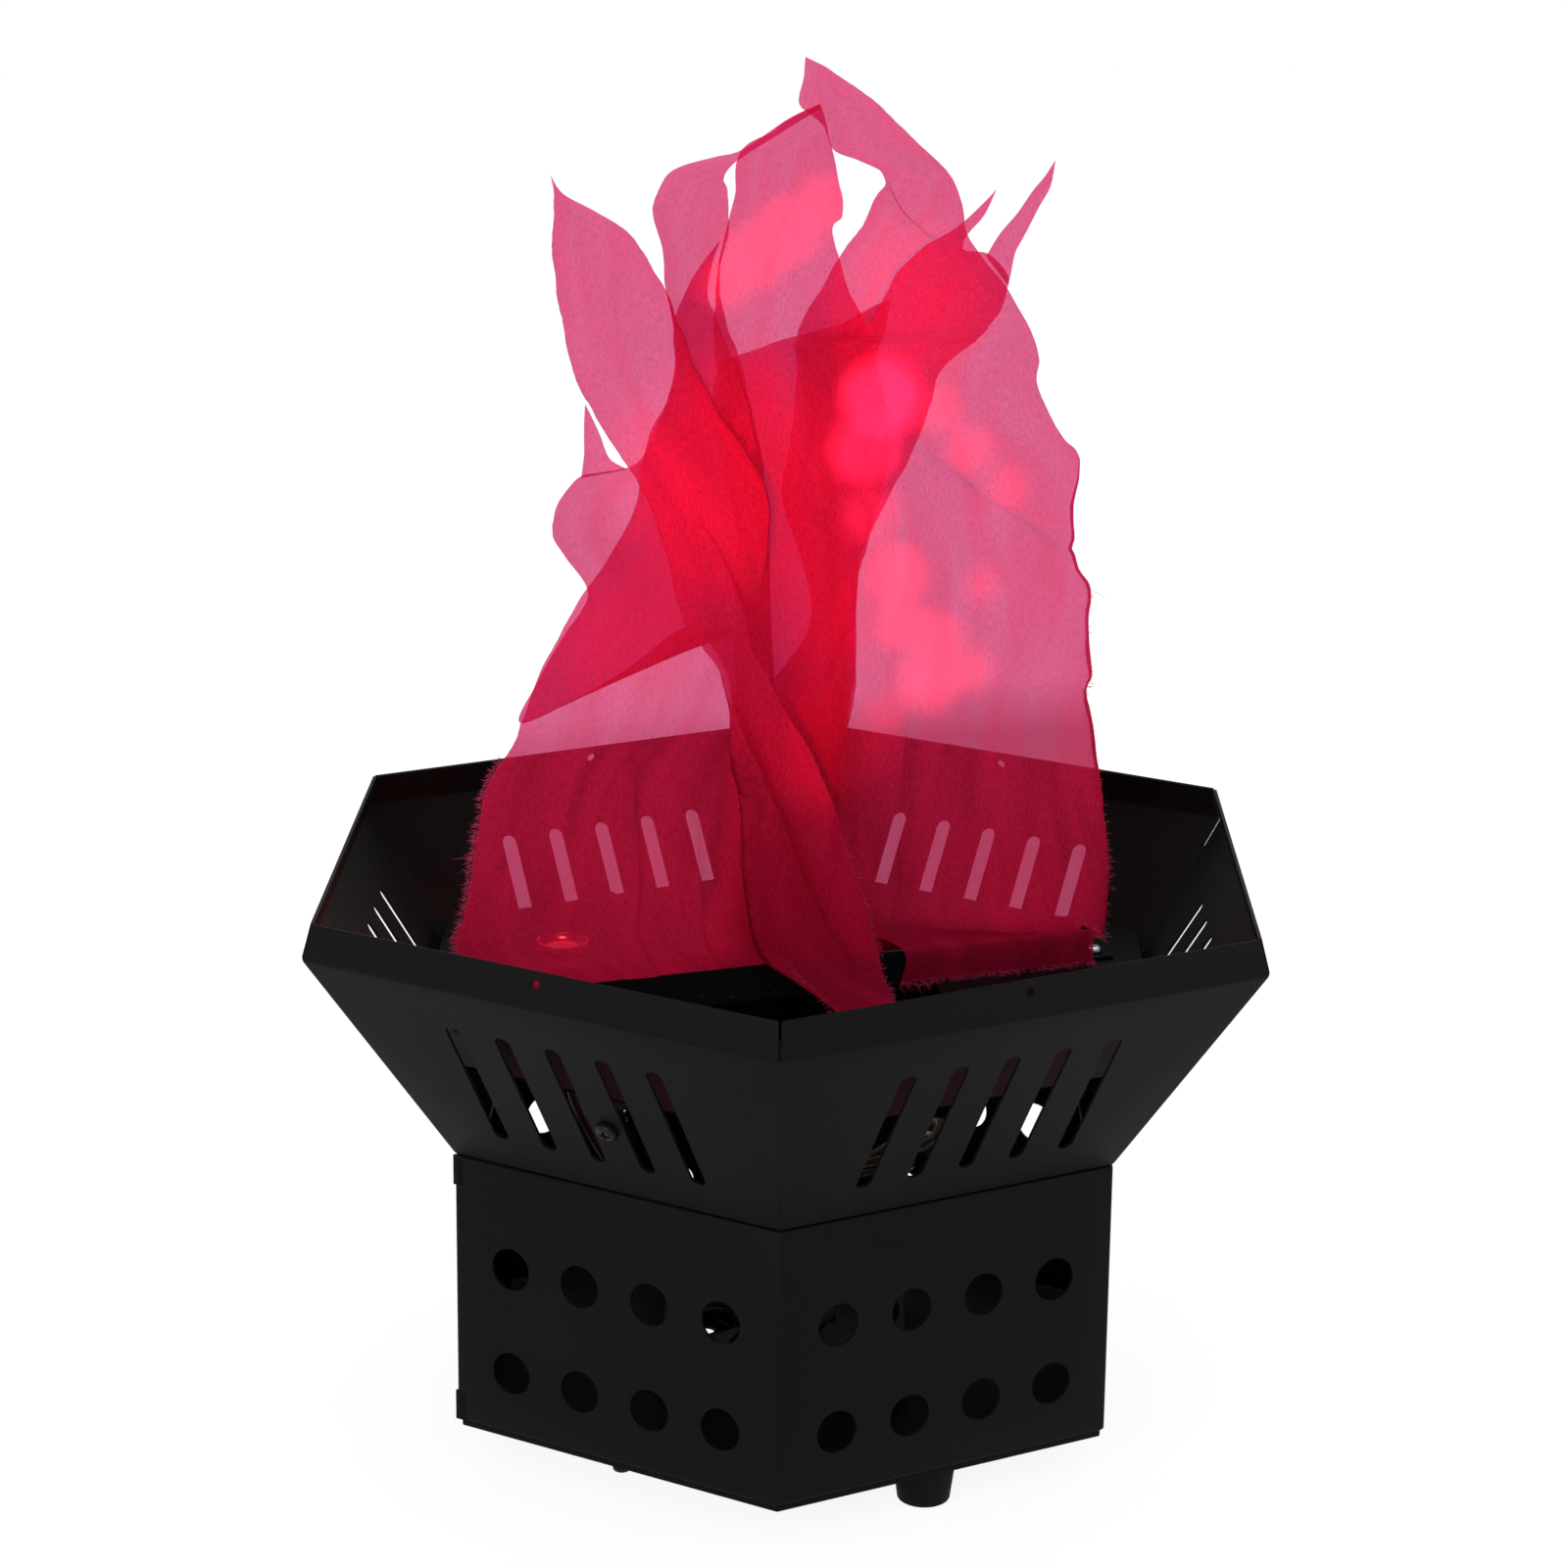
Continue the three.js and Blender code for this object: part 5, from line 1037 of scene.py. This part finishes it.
# share is how dense the weave is, and height is painted shade: it dims what shows through below the
# tray's rim.
silk_cloth = new_material("red_silk_cloth", {
    "cloth": ("UVMap", {}, {"uv_map": "cloth"}), "map": ("Mapping", {"Scale": (1600, 460, 1)}),
    "crepe": ("TexNoise", {"Scale": 1, "Detail": 4, "Roughness": 0.65}),
    "lengthwise": ("Mapping", {"Scale": (95, 17, 1)}),
    "cloud": ("TexNoise", {"Scale": 1, "Detail": 3, "Distortion": 0.6}),
    "sum": ("Math", {1: 0.7}, MULTIPLY_ADD),
    "share": ("MapRange", {"From Min": 0.6, "From Max": 1.1, "To Min": 0.36, "To Max": 0.68}),
    "bump": ("Bump", {"Strength": 0.8, "Distance": 0.0005}),
    "front": ("BsdfDiffuse", {"Color": SILK_DYE}), "back": ("BsdfTranslucent", {"Color": SILK_DYE}),
    "body": ("MixShader", {0: 0.5}), "place": ("TexCoord",), "axes": ("SeparateXYZ",),
    # painted shade: the silk lets less light through below the tray's rim.
    "height": ("MapRange", {"From Min": 0.222, "From Max": 0.240, "To Min": 0.45}),
    "weave": ("Math", {1: 1.8, 2: 0.1}, MULTIPLY_ADD),
    "tint": ("VectorMath", {0: SILK_CLEAR}, {"operation": "SCALE"}),
    "clear": ("BsdfTransparent",), "mix": ("MixShader",), "out": ("OutputMaterial",),
}, (
    "place.Object > axes.0", "axes.Z > height.Value", "weave.0 > height.To Max",
    "height.Result > tint.Scale", "tint.Vector > clear.Color", "cloth.UV > map.Vector",
    "map.Vector > crepe.Vector", "cloth.UV > lengthwise.Vector", "lengthwise.Vector > cloud.Vector",
    "cloud.Fac > sum.0", "crepe.Fac > sum.2", "sum.0 > share.Value", "crepe.Fac > weave.0",
    "crepe.Fac > bump.Height",
    "bump.Normal > front.Normal", "front.0 > body.1", "back.0 > body.2", "share.Result > mix.0",
    "clear.0 > mix.1", "body.0 > mix.2", "mix.0 > out.0",
), bare=True)
silk_threads = new_material("silk_threads", {
    "skin": ("", {"Roughness": 0.7}), "place": ("TexCoord",), "noise": ("TexNoise", {"Scale": 300}),
    "tone": ("Mix", {"A": (0.3, 0.003, 0.04, 1), "B": (0.55, 0.025, 0.12, 1)}, RGBA),
}, ("place.Object > noise.Vector", "noise.Fac > tone.Factor", "tone.Result > skin.Base Color"))


def hem_point(wall, reach, height):
    """A point on one of the collar's long walls, at a reach along it from the middle."""
    offset = WALL_OFFSETS[wall]
    return Vector((
        reach * math.cos(COLLAR_TURN) + offset * math.sin(COLLAR_TURN),
        reach * math.sin(COLLAR_TURN) - offset * math.cos(COLLAR_TURN), height,
    ))


def creased(creases, share, across, span_length):
    """How far the creases push a point along the cloth and back."""
    sideways = back = 0.0
    for (u0, v0), (u1, v1), wide, deep in creases:
        progress = (share - v0) / (v1 - v0)
        if -0.15 < progress < 1.15:
            strength = deep * max(0.0, 1 - abs(progress * 2 - 1) ** 6)
            t = (across - (u0 + (u1 - u0) * progress)) * span_length / wide
            sideways -= strength * t * math.exp(-t * t)
            back += 0.35 * strength * math.tanh(t * 1.5) * math.exp(-t * t * 0.2)
    return sideways, back


def roll_edge(row, edge, rolled, span_way):
    """Turn one end of a row of points back on itself by a width."""
    end, u, v = row[0] if edge == "left" else row[-1]
    sign = 1 if edge == "left" else -1
    for step in range(1, ROLL_STEPS + 1):
        lift = 0.8 * math.sin(math.pi * min(step, 2) / 4) * min(1, rolled)
        spot = end + span_way * sign * rolled * step / ROLL_STEPS + Vector((0, -lift, 0))
        row.insert(0 if edge == "left" else len(row), (spot, u - sign * step, v))


def loft(mesh_maker, uv_layer, rows, seed, depth, flutter, creases=(), rolls=()):
    """A sheet between a left and a right edge that run through rows of points. It is folded
    lightly in depth, its edges flutter, creases pinch it, and rolls turn an edge back on itself."""
    left = [Vector(row[:3]) for row in rows]
    right = [Vector(row[3:]) for row in rows]
    count = max(8, int(sum((b - a).length for a, b in zip(left, left[1:])) / SILK_STEP))
    columns = max(4, int(max((b - a).length for a, b in zip(left, right)) / SILK_STEP))
    grid = []
    travelled = 0.0
    before = None
    for n in range(count + 1):
        share = n / count
        where = share * (len(rows) - 1)
        here = [along(left, where), along(right, where)]
        middle = (here[0] + here[1]) / 2
        if before is not None:
            travelled += (middle - before).length
        before = middle
        span = here[1] - here[0]
        span_length = max(span.length, 0.01)
        taper = min(1.0, span_length / TAPER_WIDTH)
        for side, sign in ((0, -1), (1, 1)):
            wobble = noise.noise(Vector((seed * 7.1 + side * 3.7, travelled * 0.13, 0))) * flutter
            fine_place = Vector((seed * 3.3 + side * 9.1, travelled * 0.6, 5))
            wobble += noise.noise(fine_place) * flutter * 0.3
            here[side] = here[side] + span.normalized() * sign * wobble * taper
        swell = math.sin(math.pi * share) ** 0.6 if 0 < share < 1 else 0.0
        row = []
        for column in range(columns + 1):
            across = column / columns
            point = here[0].lerp(here[1], across)
            bulge = 4 * across * (1 - across)
            fold = math.sin(math.pi * FOLD_WAVES * across + travelled * 0.028 + seed) * bulge
            reach = across * span_length
            ripple = noise.noise(Vector((reach * 0.05, travelled * 0.016, seed * 5.0)))
            fine = noise.noise(Vector((reach * 0.16, travelled * 0.05, seed * 2.0)))
            sideways, back = creased(creases, share, across, span_length)
            point.y += swell * taper * (depth * fold + 2.4 * ripple * bulge + 0.5 * fine) + back
            row.append((point + span.normalized() * sideways, reach, travelled))
        for edge, low, high, wide in rolls:
            fade = min(1.0, (share - low) / ROLL_FADE, (high - share) / ROLL_FADE)
            ragged = 0.75 + 0.5 * noise.noise(Vector((seed, travelled * 0.09, 11)))
            roll_edge(row, edge, max(0.0, wide * fade * ragged), span.normalized())
        grid.append(row)
    verts = [[mesh_maker.verts.new(point) for point, _, _ in row] for row in grid]
    for n in range(count):
        for column in range(len(grid[0]) - 1):
            corners = ((n, column), (n, column + 1), (n + 1, column + 1), (n + 1, column))
            face = mesh_maker.faces.new([verts[i][j] for i, j in corners])
            for loop, (i, j) in zip(face.loops, corners):
                loop[uv_layer].uv = (grid[i][j][1] * MM, grid[i][j][2] * MM)
    return grid


def fray_starts(row, edge, first_row, per_row, dice):
    """Where threads leave a row of a leaf, and which way: from an edge, or all along the hem."""
    if edge == "hem":
        count = per_row * len(row) // 2 if first_row else 0
        return [(dice.choice(row)[0], HEM_WAY) for _ in range(count)]
    end = row[0 if edge == "left" else -1][0]
    return [(end, end - row[len(row) // 2][0])] * per_row


def scatter(dice, size):
    """A small move any way."""
    return Vector([dice.uniform(-size, size) for _ in range(3)])


def add_thread(threads, uv_layer, start, way, spread, dice):
    """One loose thread: a flat strand that bends down and ends in a point. A few are long."""
    out = way.normalized() + scatter(dice, 0.8)
    reach = spread * dice.uniform(0.3, 1.0) ** 1.5 * (3.5 if dice.random() < 0.006 else 1)
    first = start + scatter(dice, 0.9)
    second = first + (out.normalized() + DROOP * 0.3) * reach * 0.55
    tip_way = (out.normalized() + DROOP + scatter(dice, 0.6)).normalized()
    tip = second + tip_way * reach * 0.45
    half = Vector((0, dice.uniform(0.02, 0.04), dice.uniform(0.03, 0.05)))
    strand = (first - half, first + half, second + half, second - half, tip)
    points = [threads.verts.new(point) for point in strand]
    for ring in ((0, 1, 2, 3), (3, 2, 4)):
        for loop in threads.faces.new([points[i] for i in ring]).loops:
            loop[uv_layer].uv = (0.3, 0.3)


def silk_leaf(node, parts, hem=None, frays=()):
    """One leaf of silk: its lofts, its hem on the collar, and its frayed edges as a piece."""
    name = f"{node}_leaf"
    made = bmesh.new()
    uv_layer = made.loops.layers.uv.new("cloth")
    grids = []
    for part in parts:
        rows = part["rows"]
        if hem and not grids:
            wall, low, high, drop = hem
            hem_rows = [
                (*hem_point(wall, low, height), *hem_point(wall, high, height))
                for height in (COLLAR_TOP - drop, COLLAR_TOP + 0.5)
            ]
            rows = hem_rows + rows
        grids.append(loft(made, uv_layer, **{**part, "rows": rows}))
    area = sum(face.calc_area() for face in made.faces) * MM * MM
    widest = max((row[-1][0] - row[0][0]).length for grid in grids for row in grid) * MM
    tallest = max(grid[-1][0][2] for grid in grids) * MM
    length = max(tallest, area / widest * 1.02)
    widest = min(widest, area / (0.35 * length))
    cloth = piece_from(made, name, silk_cloth, 180)
    finish_piece(cloth, "light", "red_silk", node)
    if frays:
        threads = bmesh.new()
        thread_uv = threads.loops.layers.uv.new("cloth")
        dice = random.Random(len(name) * 31)
        for edge, low, high, spread, per_row in frays:
            grid = grids[0]
            for n, row in enumerate(grid[:-1]):
                if low <= n / len(grid) <= high:
                    for start, way in fray_starts(row, edge, n == 0, per_row, dice):
                        add_thread(threads, thread_uv, start, way, spread, dice)
        frayed = piece_from(threads, f"{name}_frayed_threads", silk_threads, 180)
        finish_piece(frayed, "light", "red_silk")


# Each row of a leaf is a point on its left edge and one on its right edge, from
# the hem up. The widest leaf stands on the right. Its top swings over to the left
# and ends in the highest tip of the flame.
right_rows = [
    (16.1, 7, 165.5, 104.6, 37, 150.5), (14.6, 9, 176.6, 105.9, 37, 171.8),
    (11.2, 11, 192.6, 104.5, 38, 186.1), (9.1, 13, 206.6, 102.4, 38, 201),
    (9.4, 15, 226.2, 99.2, 38, 222.1), (10.5, 16, 240.8, 96.5, 38, 234.4),
    (11.3, 17, 252, 97.9, 37, 241.7), (11.4, 18, 264.7, 96.3, 36, 258.1),
    (11, 19, 275.9, 96.5, 35, 270.2), (10.2, 20, 285.3, 92.1, 34, 277.5),
    (9.1, 21, 296.3, 90.5, 34, 288.3), (7.7, 22, 305.7, 90.2, 33, 298.2),
    (5.6, 23, 316.7, 91.6, 32, 310.4), (3.6, 24, 326, 90.5, 32, 316.1),
    (1.9, 25, 335.3, 85.6, 31, 320.7), (0.9, 25, 344.2, 79.9, 30, 330.8),
    (-0.2, 26, 352.5, 76.8, 30, 339.3), (2.5, 27, 360.2, 77.3, 30, 346.3),
    (6.8, 28, 366.4, 74.2, 30, 356), (11.1, 28, 375.2, 66.6, 29, 368.6),
    (14.7, 28, 380.9, 58.9, 29, 377.9), (18.4, 28, 385.9, 53.5, 29, 385.6),
    (21.1, 28, 390.3, 52.1, 30, 393.2), (24.4, 28, 398.4, 50.7, 30, 398.5),
    (26.4, 28, 404.9, 46.9, 30, 405.2), (18.6, 28, 408.8, 40.5, 30, 411.6),
    (10.5, 28, 412.4, 31.7, 28, 419.7), (7.4, 28, 419.7, 23.6, 28, 427.6),
    (-0.1, 28, 426.4, 13.9, 28, 434.2), (1, 28, 434.9, 7.1, 28, 438.3),
    (1.5, 28, 441, 1.5, 28, 441),
]
right_creases = (
    ((0.4, 0.445), (0.98, 0.355), 4.5, 5.0), ((0.0, 0.81), (0.85, 0.69), 3.0, 4.0),
    ((0.17, 0.02), (0.34, 0.22), 3.5, 3.5),
)
silk_leaf(
    "silk_right",
    [dict(
        rows=right_rows, seed=1.0, depth=2.2, flutter=0.5, creases=right_creases,
        rolls=(("right", 0.08, 0.46, 1.7),),
    )],
    hem=("near_front", 36, 105, 11.0),
    frays=(("right", 0.02, 0.32, 3.2, 5), ("hem", 0, 0.05, 4.5, 30)),
)

# The leaf on the left leans out over the bowl, and its cut edge has frayed to a
# fringe.
left_rows = [
    (-103.7, -47, 168.8, -4.7, -8, 164.9), (-101.3, -45, 181.4, -4.3, -7, 179.6),
    (-99.2, -43, 194, -3.5, -6, 194.1), (-97.1, -41, 206.3, -3.9, -5, 206.3),
    (-93.9, -38, 222.4, -5.4, -4, 219.7), (-87.3, -35, 231.8, -6.5, -3, 232.4),
    (-83.5, -32, 241.2, -7.2, -2, 243.5), (-79.4, -29, 252.9, -7.7, -1, 257.1),
    (-72.8, -25, 266.2, -8.1, 0, 270.3), (-67.5, -22, 275.3, -8.3, 1, 282.9),
    (-62.1, -20, 283.4, -8.4, 2, 293.8), (-55, -15, 293.7, -9.5, 3, 306.2),
    (-49.8, -10, 304.3, -11.2, 4, 317), (-47.8, -7, 317.1, -13.4, 4, 326.4),
    (-45.2, -4, 327.5, -15.4, 5, 335), (-40.4, -1, 336.4, -19.2, 6, 346.3),
    (-37.5, 1, 346.9, -22.4, 7, 354.5), (-38.6, 4, 357.2, -25.5, 8, 362.3),
    (-36.5, 6, 366.2, -28, 8, 369.7), (-31.1, 8, 376.8, -26.9, 9, 377.6),
    (-24.2, 9, 385.9, -24.2, 9, 385.9),
]
left_creases = (((0.6, 0.0), (0.5, 0.3), 4.5, 4.5), ((0.82, 0.0), (0.7, 0.26), 3.5, 4.0))
silk_leaf(
    "silk_left", [dict(rows=left_rows, seed=2.0, depth=1.8, flutter=0.7, creases=left_creases)],
    hem=("near_inside", -102, -8, 9.0),
    frays=(("left", 0.0, 0.3, 3.4, 18), ("hem", 0, 0.05, 3.0, 4)),
)

# A scarf-like leaf starts at the front of the collar, crosses to the left and
# spreads out to a pointed wing.
front_left_rows = [
    (18.5, -22, 140.1, 34.3, -13, 141.9), (11.5, -20, 145.2, 33.3, -11, 145.6),
    (1.3, -18, 151.7, 31.3, -10, 149.5), (-8.9, -17, 158.5, 28.9, -10, 159.5),
    (-12.4, -18, 169.7, 26.3, -11, 168.1), (-14.7, -21, 185.4, 22.2, -14, 182.5),
    (-15.3, -24, 202.6, 17, -18, 201.3), (-16, -25, 214.1, 13.1, -22, 213.8),
    (-19.5, -27, 227.5, 6.1, -25, 230.6), (-21.1, -28, 240.5, -1.4, -27, 242.8),
    (-21.8, -28, 254.8, -7.7, -28, 255.6), (-27.4, -27, 263.3, -13, -28, 265),
    (-33.3, -25, 270.6, -11.6, -26, 272.7), (-36.2, -23, 279.1, -9.9, -22, 280.3),
    (-38.1, -21, 286.8, -8.5, -18, 288.8), (-41.3, -20, 297.8, -7.2, -15, 299.1),
    (-45.3, -20, 308.3, -7.6, -12, 307.8), (-50.8, -20, 318.2, -11.4, -10, 317),
    (-57.7, -20, 328.3, -18, -9, 326.7), (-62, -20, 335.9, -24.8, -8, 336.6),
    (-65.6, -20, 342, -30.4, -7, 347.5), (-68.1, -19, 347.9, -34.1, -7, 356.1),
    (-70.2, -18, 355.6, -37.2, -6, 363.5), (-72, -18, 363.5, -39.7, -6, 371.1),
    (-73.6, -17, 372.4, -43.4, -6, 377.2), (-74.5, -16, 381.3, -47.3, -7, 383.7),
    (-75.1, -15, 390.2, -52.4, -8, 390.7), (-74.6, -13, 398.4, -62.5, -10, 397.2),
    (-74.7, -12, 403, -71.8, -11, 402.3), (-75.6, -12, 408.1, -75.6, -12, 408.1),
]
front_left_creases = (((1.0, 0.385), (0.34, 0.54), 4.0, 6.5), ((0.8, 0.07), (0.1, 0.34), 4.0, 6.5))
silk_leaf(
    "silk_front_left",
    [dict(
        rows=front_left_rows, seed=3.0, depth=1.6, flutter=0.6, creases=front_left_creases,
        rolls=(("left", 0.03, 0.33, 11.0), ("right", 0.46, 0.8, 2.4)),
    )],
    frays=(("right", 0.0, 0.2, 2.0, 5), ("left", 0.0, 0.1, 2.6, 4)),
)

# The front right leaf stands upright. Its top leans to the right and parts into
# its own tip and one longer spike.
front_right_rows = [
    (-11.3, 1, 168.6, 14.2, 5, 167.8), (-12.1, 2, 184.9, 13.9, 6, 184.2),
    (-13.5, 3, 199.5, 13.7, 7, 199.8), (-15, 4, 214.1, 15.4, 8, 214.7),
    (-12.6, 5, 226.9, 18, 7, 228.5), (-10.2, 6, 238.1, 20.1, 6, 240.2),
    (-5.2, 6, 246.3, 20.5, 5, 252.8), (0.4, 6, 253.6, 20.3, 4, 263.4),
    (4.7, 6, 261.1, 20.2, 3, 273.9), (5.8, 6, 269.8, 21.2, 2, 286.9),
    (4.1, 6, 278.7, 24.2, 2, 294.3), (1.2, 6, 288.3, 27.8, 2, 302.2),
    (-2.3, 6, 297.8, 32.3, 2, 311.2), (-4.3, 6, 307.3, 36.1, 2, 318.8),
    (-2.8, 6, 316.8, 40, 2, 328.2), (-1.1, 6, 327.8, 42.8, 2, 338.5),
    (-0.3, 6, 337.2, 44.8, 2, 345.7), (-0.1, 6, 347.5, 48.4, 2, 350.1),
    (-0.2, 6, 354.3, 53.3, 3, 354), (8.4, 5, 356.2, 56.3, 3, 356.2),
    (18.2, 5, 357.5, 58.7, 3, 358.8), (23.7, 5, 362.6, 60.5, 4, 361.1),
    (27.5, 6, 370.2, 64, 5, 366.2), (30.8, 7, 376.2, 66.1, 7, 373.6),
    (34.1, 8, 379.8, 65.4, 8, 377.1), (37.1, 9, 382.8, 59.5, 9, 382.8),
    (40.1, 9, 385.3, 52.4, 9, 383.6), (44.1, 9, 387.5, 52, 9, 386.6),
    (49.2, 10, 390.4, 53.8, 10, 389.6), (55.5, 10, 396, 58, 10, 394.5),
    (61.8, 10, 402.8, 61.8, 10, 402.8),
]
front_right_spike_rows = [
    (58.9, 8, 382, 66.1, 7, 373), (60.6, 8, 385.1, 66.9, 7, 377.9),
    (63.6, 9, 389.9, 68, 8, 383.3), (68.9, 9, 396.3, 70.3, 8, 388),
    (73, 8, 402.9, 74.9, 8, 397.5), (76.5, 8, 407.2, 78.4, 8, 404.2),
    (79.7, 8, 412.4, 79.7, 8, 412.4),
]
silk_leaf(
    "silk_front_right",
    [dict(rows=front_right_rows, seed=4.0, depth=1.6, flutter=0.5),
     dict(rows=front_right_spike_rows, seed=4.8, depth=0.4, flutter=0.2)],
    hem=("near_inside", -4, 30, 9.0),
)

# The rear left leaf rises in a narrow stem behind the others, throws a wing and a
# short spike out to the left, and runs up to the top in a thin band.
rear_left_rows = [
    (-18.7, 10, 175.7, -5.3, 14, 174.7), (-18.8, 11, 192.1, -5.4, 14, 191.4),
    (-19, 12, 208.4, -5.6, 15, 207.8), (-19.1, 13, 224.7, -5.8, 16, 224.1),
    (-20.5, 14, 240.8, -6, 16, 240.5), (-24.4, 14, 251.2, -6.4, 17, 249.4),
    (-34.3, 8, 261.6, -6.8, 18, 256.3), (-56.5, -1, 247.3, -7.2, 18, 262.2),
    (-85.3, -10, 233.7, -7.6, 19, 267.1), (-81.6, -9, 245.8, -7.6, 20, 270.8),
    (-72.7, -6, 261.2, -7.7, 20, 273.4), (-65, -3, 274.7, -7.7, 21, 275.8),
    (-72.4, 0, 285.7, -7.8, 21, 282.2), (-76.6, 3, 291.9, -8.2, 22, 288.5),
    (-76.2, 6, 298.3, -8.6, 22, 295.9), (-74.1, 8, 303.3, -9.3, 23, 301.7),
    (-68.7, 11, 309.4, -10, 24, 307.3), (-61.6, 13, 310.7, -10.3, 24, 311.1),
    (-53.3, 15, 312, -11, 25, 315.4), (-48.7, 16, 315.4, -12, 26, 319),
    (-45, 17, 323.5, -13.7, 27, 325.2), (-41.3, 18, 332.2, -15.3, 28, 332.6),
    (-39.1, 18, 340.7, -16.7, 28, 339.3), (-38.5, 18, 350.2, -19.2, 28, 347.8),
    (-39.6, 19, 359.4, -22.1, 28, 355), (-41.8, 19, 369.3, -24.4, 28, 364.4),
    (-42.8, 20, 380.7, -25, 28, 371.3), (-45.6, 21, 391, -23.8, 28, 379.1),
    (-45.4, 22, 396.4, -22, 28, 388.5), (-41.4, 23, 404, -22.7, 28, 399),
    (-35.6, 24, 407.4, -24, 28, 402.4), (-26.4, 25, 409.8, -21.5, 28, 406.4),
    (-18.1, 26, 412, -17.8, 27.5, 409.6), (-4, 25, 421.8, -3.1, 25.5, 419.3),
    (6.1, 23.5, 426.9, 6.4, 23.5, 425.4),
]
rear_left_spike_rows = [
    (-68.1, 11.2, 309.1, -53.3, 15, 311.4), (-67.5, 12, 313.4, -58.6, 14, 314.4),
    (-67.2, 13, 317, -60.7, 14, 318.1), (-67.2, 12, 321.6, -61.9, 13, 322.1),
    (-67.1, 12, 327.3, -64, 12, 327.3), (-66.8, 12, 332.9, -66.8, 12, 332.9),
]
silk_leaf(
    "silk_rear_left",
    [dict(rows=rear_left_rows, seed=5.0, depth=1.4, flutter=0.4),
     dict(rows=rear_left_spike_rows, seed=5.5, depth=0.2, flutter=0.2)],
    hem=("far_back", -20, -2, 9.0),
)

# The centre leaf stands straight behind the others up to the middle of the top.
centre_rows = [
    (-22.6, 5, 167.2, 15.7, 13, 165.3), (-22.7, 6, 183.6, 15.5, 14, 181.7),
    (-21.9, 7, 199.9, 15.6, 14, 198.5), (-20.8, 9, 215.9, 16, 14, 215.1),
    (-19.1, 11, 231.8, 18.3, 14, 231.6), (-18, 12, 247.9, 19.9, 14, 248),
    (-18.1, 13, 263.9, 20, 14, 264.2), (-18.6, 14, 279.8, 21.3, 14, 280.4),
    (-19.7, 14, 295.8, 25.7, 14, 296.5), (-21.1, 16, 311.3, 29.2, 16, 312.1),
    (-22.8, 17, 327, 29, 17, 327.7), (-24.8, 18, 339.4, 26.5, 18, 341.7),
    (-26.1, 18, 351.9, 23.5, 18, 354.2), (-26.2, 18, 362.9, 19.7, 18, 362.6),
    (-25.6, 18, 372.2, 14.9, 18, 372.8), (-24.4, 18, 379.4, 12.9, 18, 380.2),
    (-22.9, 18, 386.2, 10.9, 18, 389.1), (-22, 18, 389.9, 13.7, 18, 392.5),
    (-20.3, 18, 399.1, 13.6, 18, 399.6), (-18, 20, 412.7, 10, 20, 413.7),
    (-9.1, 20, 418.3, 8.7, 20, 419.5), (-3, 20, 422.7, 7.4, 20, 424.3),
    (6.4, 20, 427.3, 6.4, 20, 427.3),
]
silk_leaf(
    "silk_centre", [dict(rows=centre_rows, seed=6.0, depth=1.2, flutter=0.6)],
    hem=("far_inside", -30, 40, 9.0),
)

# A low leaf at the very back fills the middle behind the others.
back_rows = [
    (-17.6, 19, 172.9, 12.7, 22, 172.5), (-17.8, 20, 189.5, 14.4, 22, 189.4),
    (-17.9, 20, 206.2, 16.1, 23, 205.9), (-18.4, 21, 222.5, 17.1, 23, 222.5),
    (-18.9, 22, 238.8, 17.5, 24, 238.8), (-19, 23, 254.9, 17.2, 25, 255),
    (-18.5, 24, 271, 17, 26, 271.1), (-19, 25, 283.8, 16.2, 27, 283.8),
    (-20.1, 27, 296.2, 14.7, 28, 295.9), (-22.1, 29, 307.1, 12.1, 29.5, 304.6),
    (-24.4, 30, 318.1, 13.8, 31, 314.6), (-26.1, 31, 326.8, 17.4, 32, 324.1),
    (-26.8, 31.5, 333.7, 21.1, 32.5, 331), (-25.6, 32, 339.4, 24.1, 33, 341.2),
    (-23.7, 32, 343.9, 27.1, 33, 351.7), (-13.7, 32.5, 347.4, 28.3, 33, 355.2),
    (-4.3, 32.5, 351, 28.8, 33, 359), (11.3, 33, 355, 29.4, 33, 361.5),
    (24.4, 33, 362.1, 29.3, 33, 364.4),
]
silk_leaf(
    "silk_back", [dict(rows=back_rows, seed=7.0, depth=1.0, flutter=0.5)],
    hem=("far_back", 1, 30, 9.0),
)
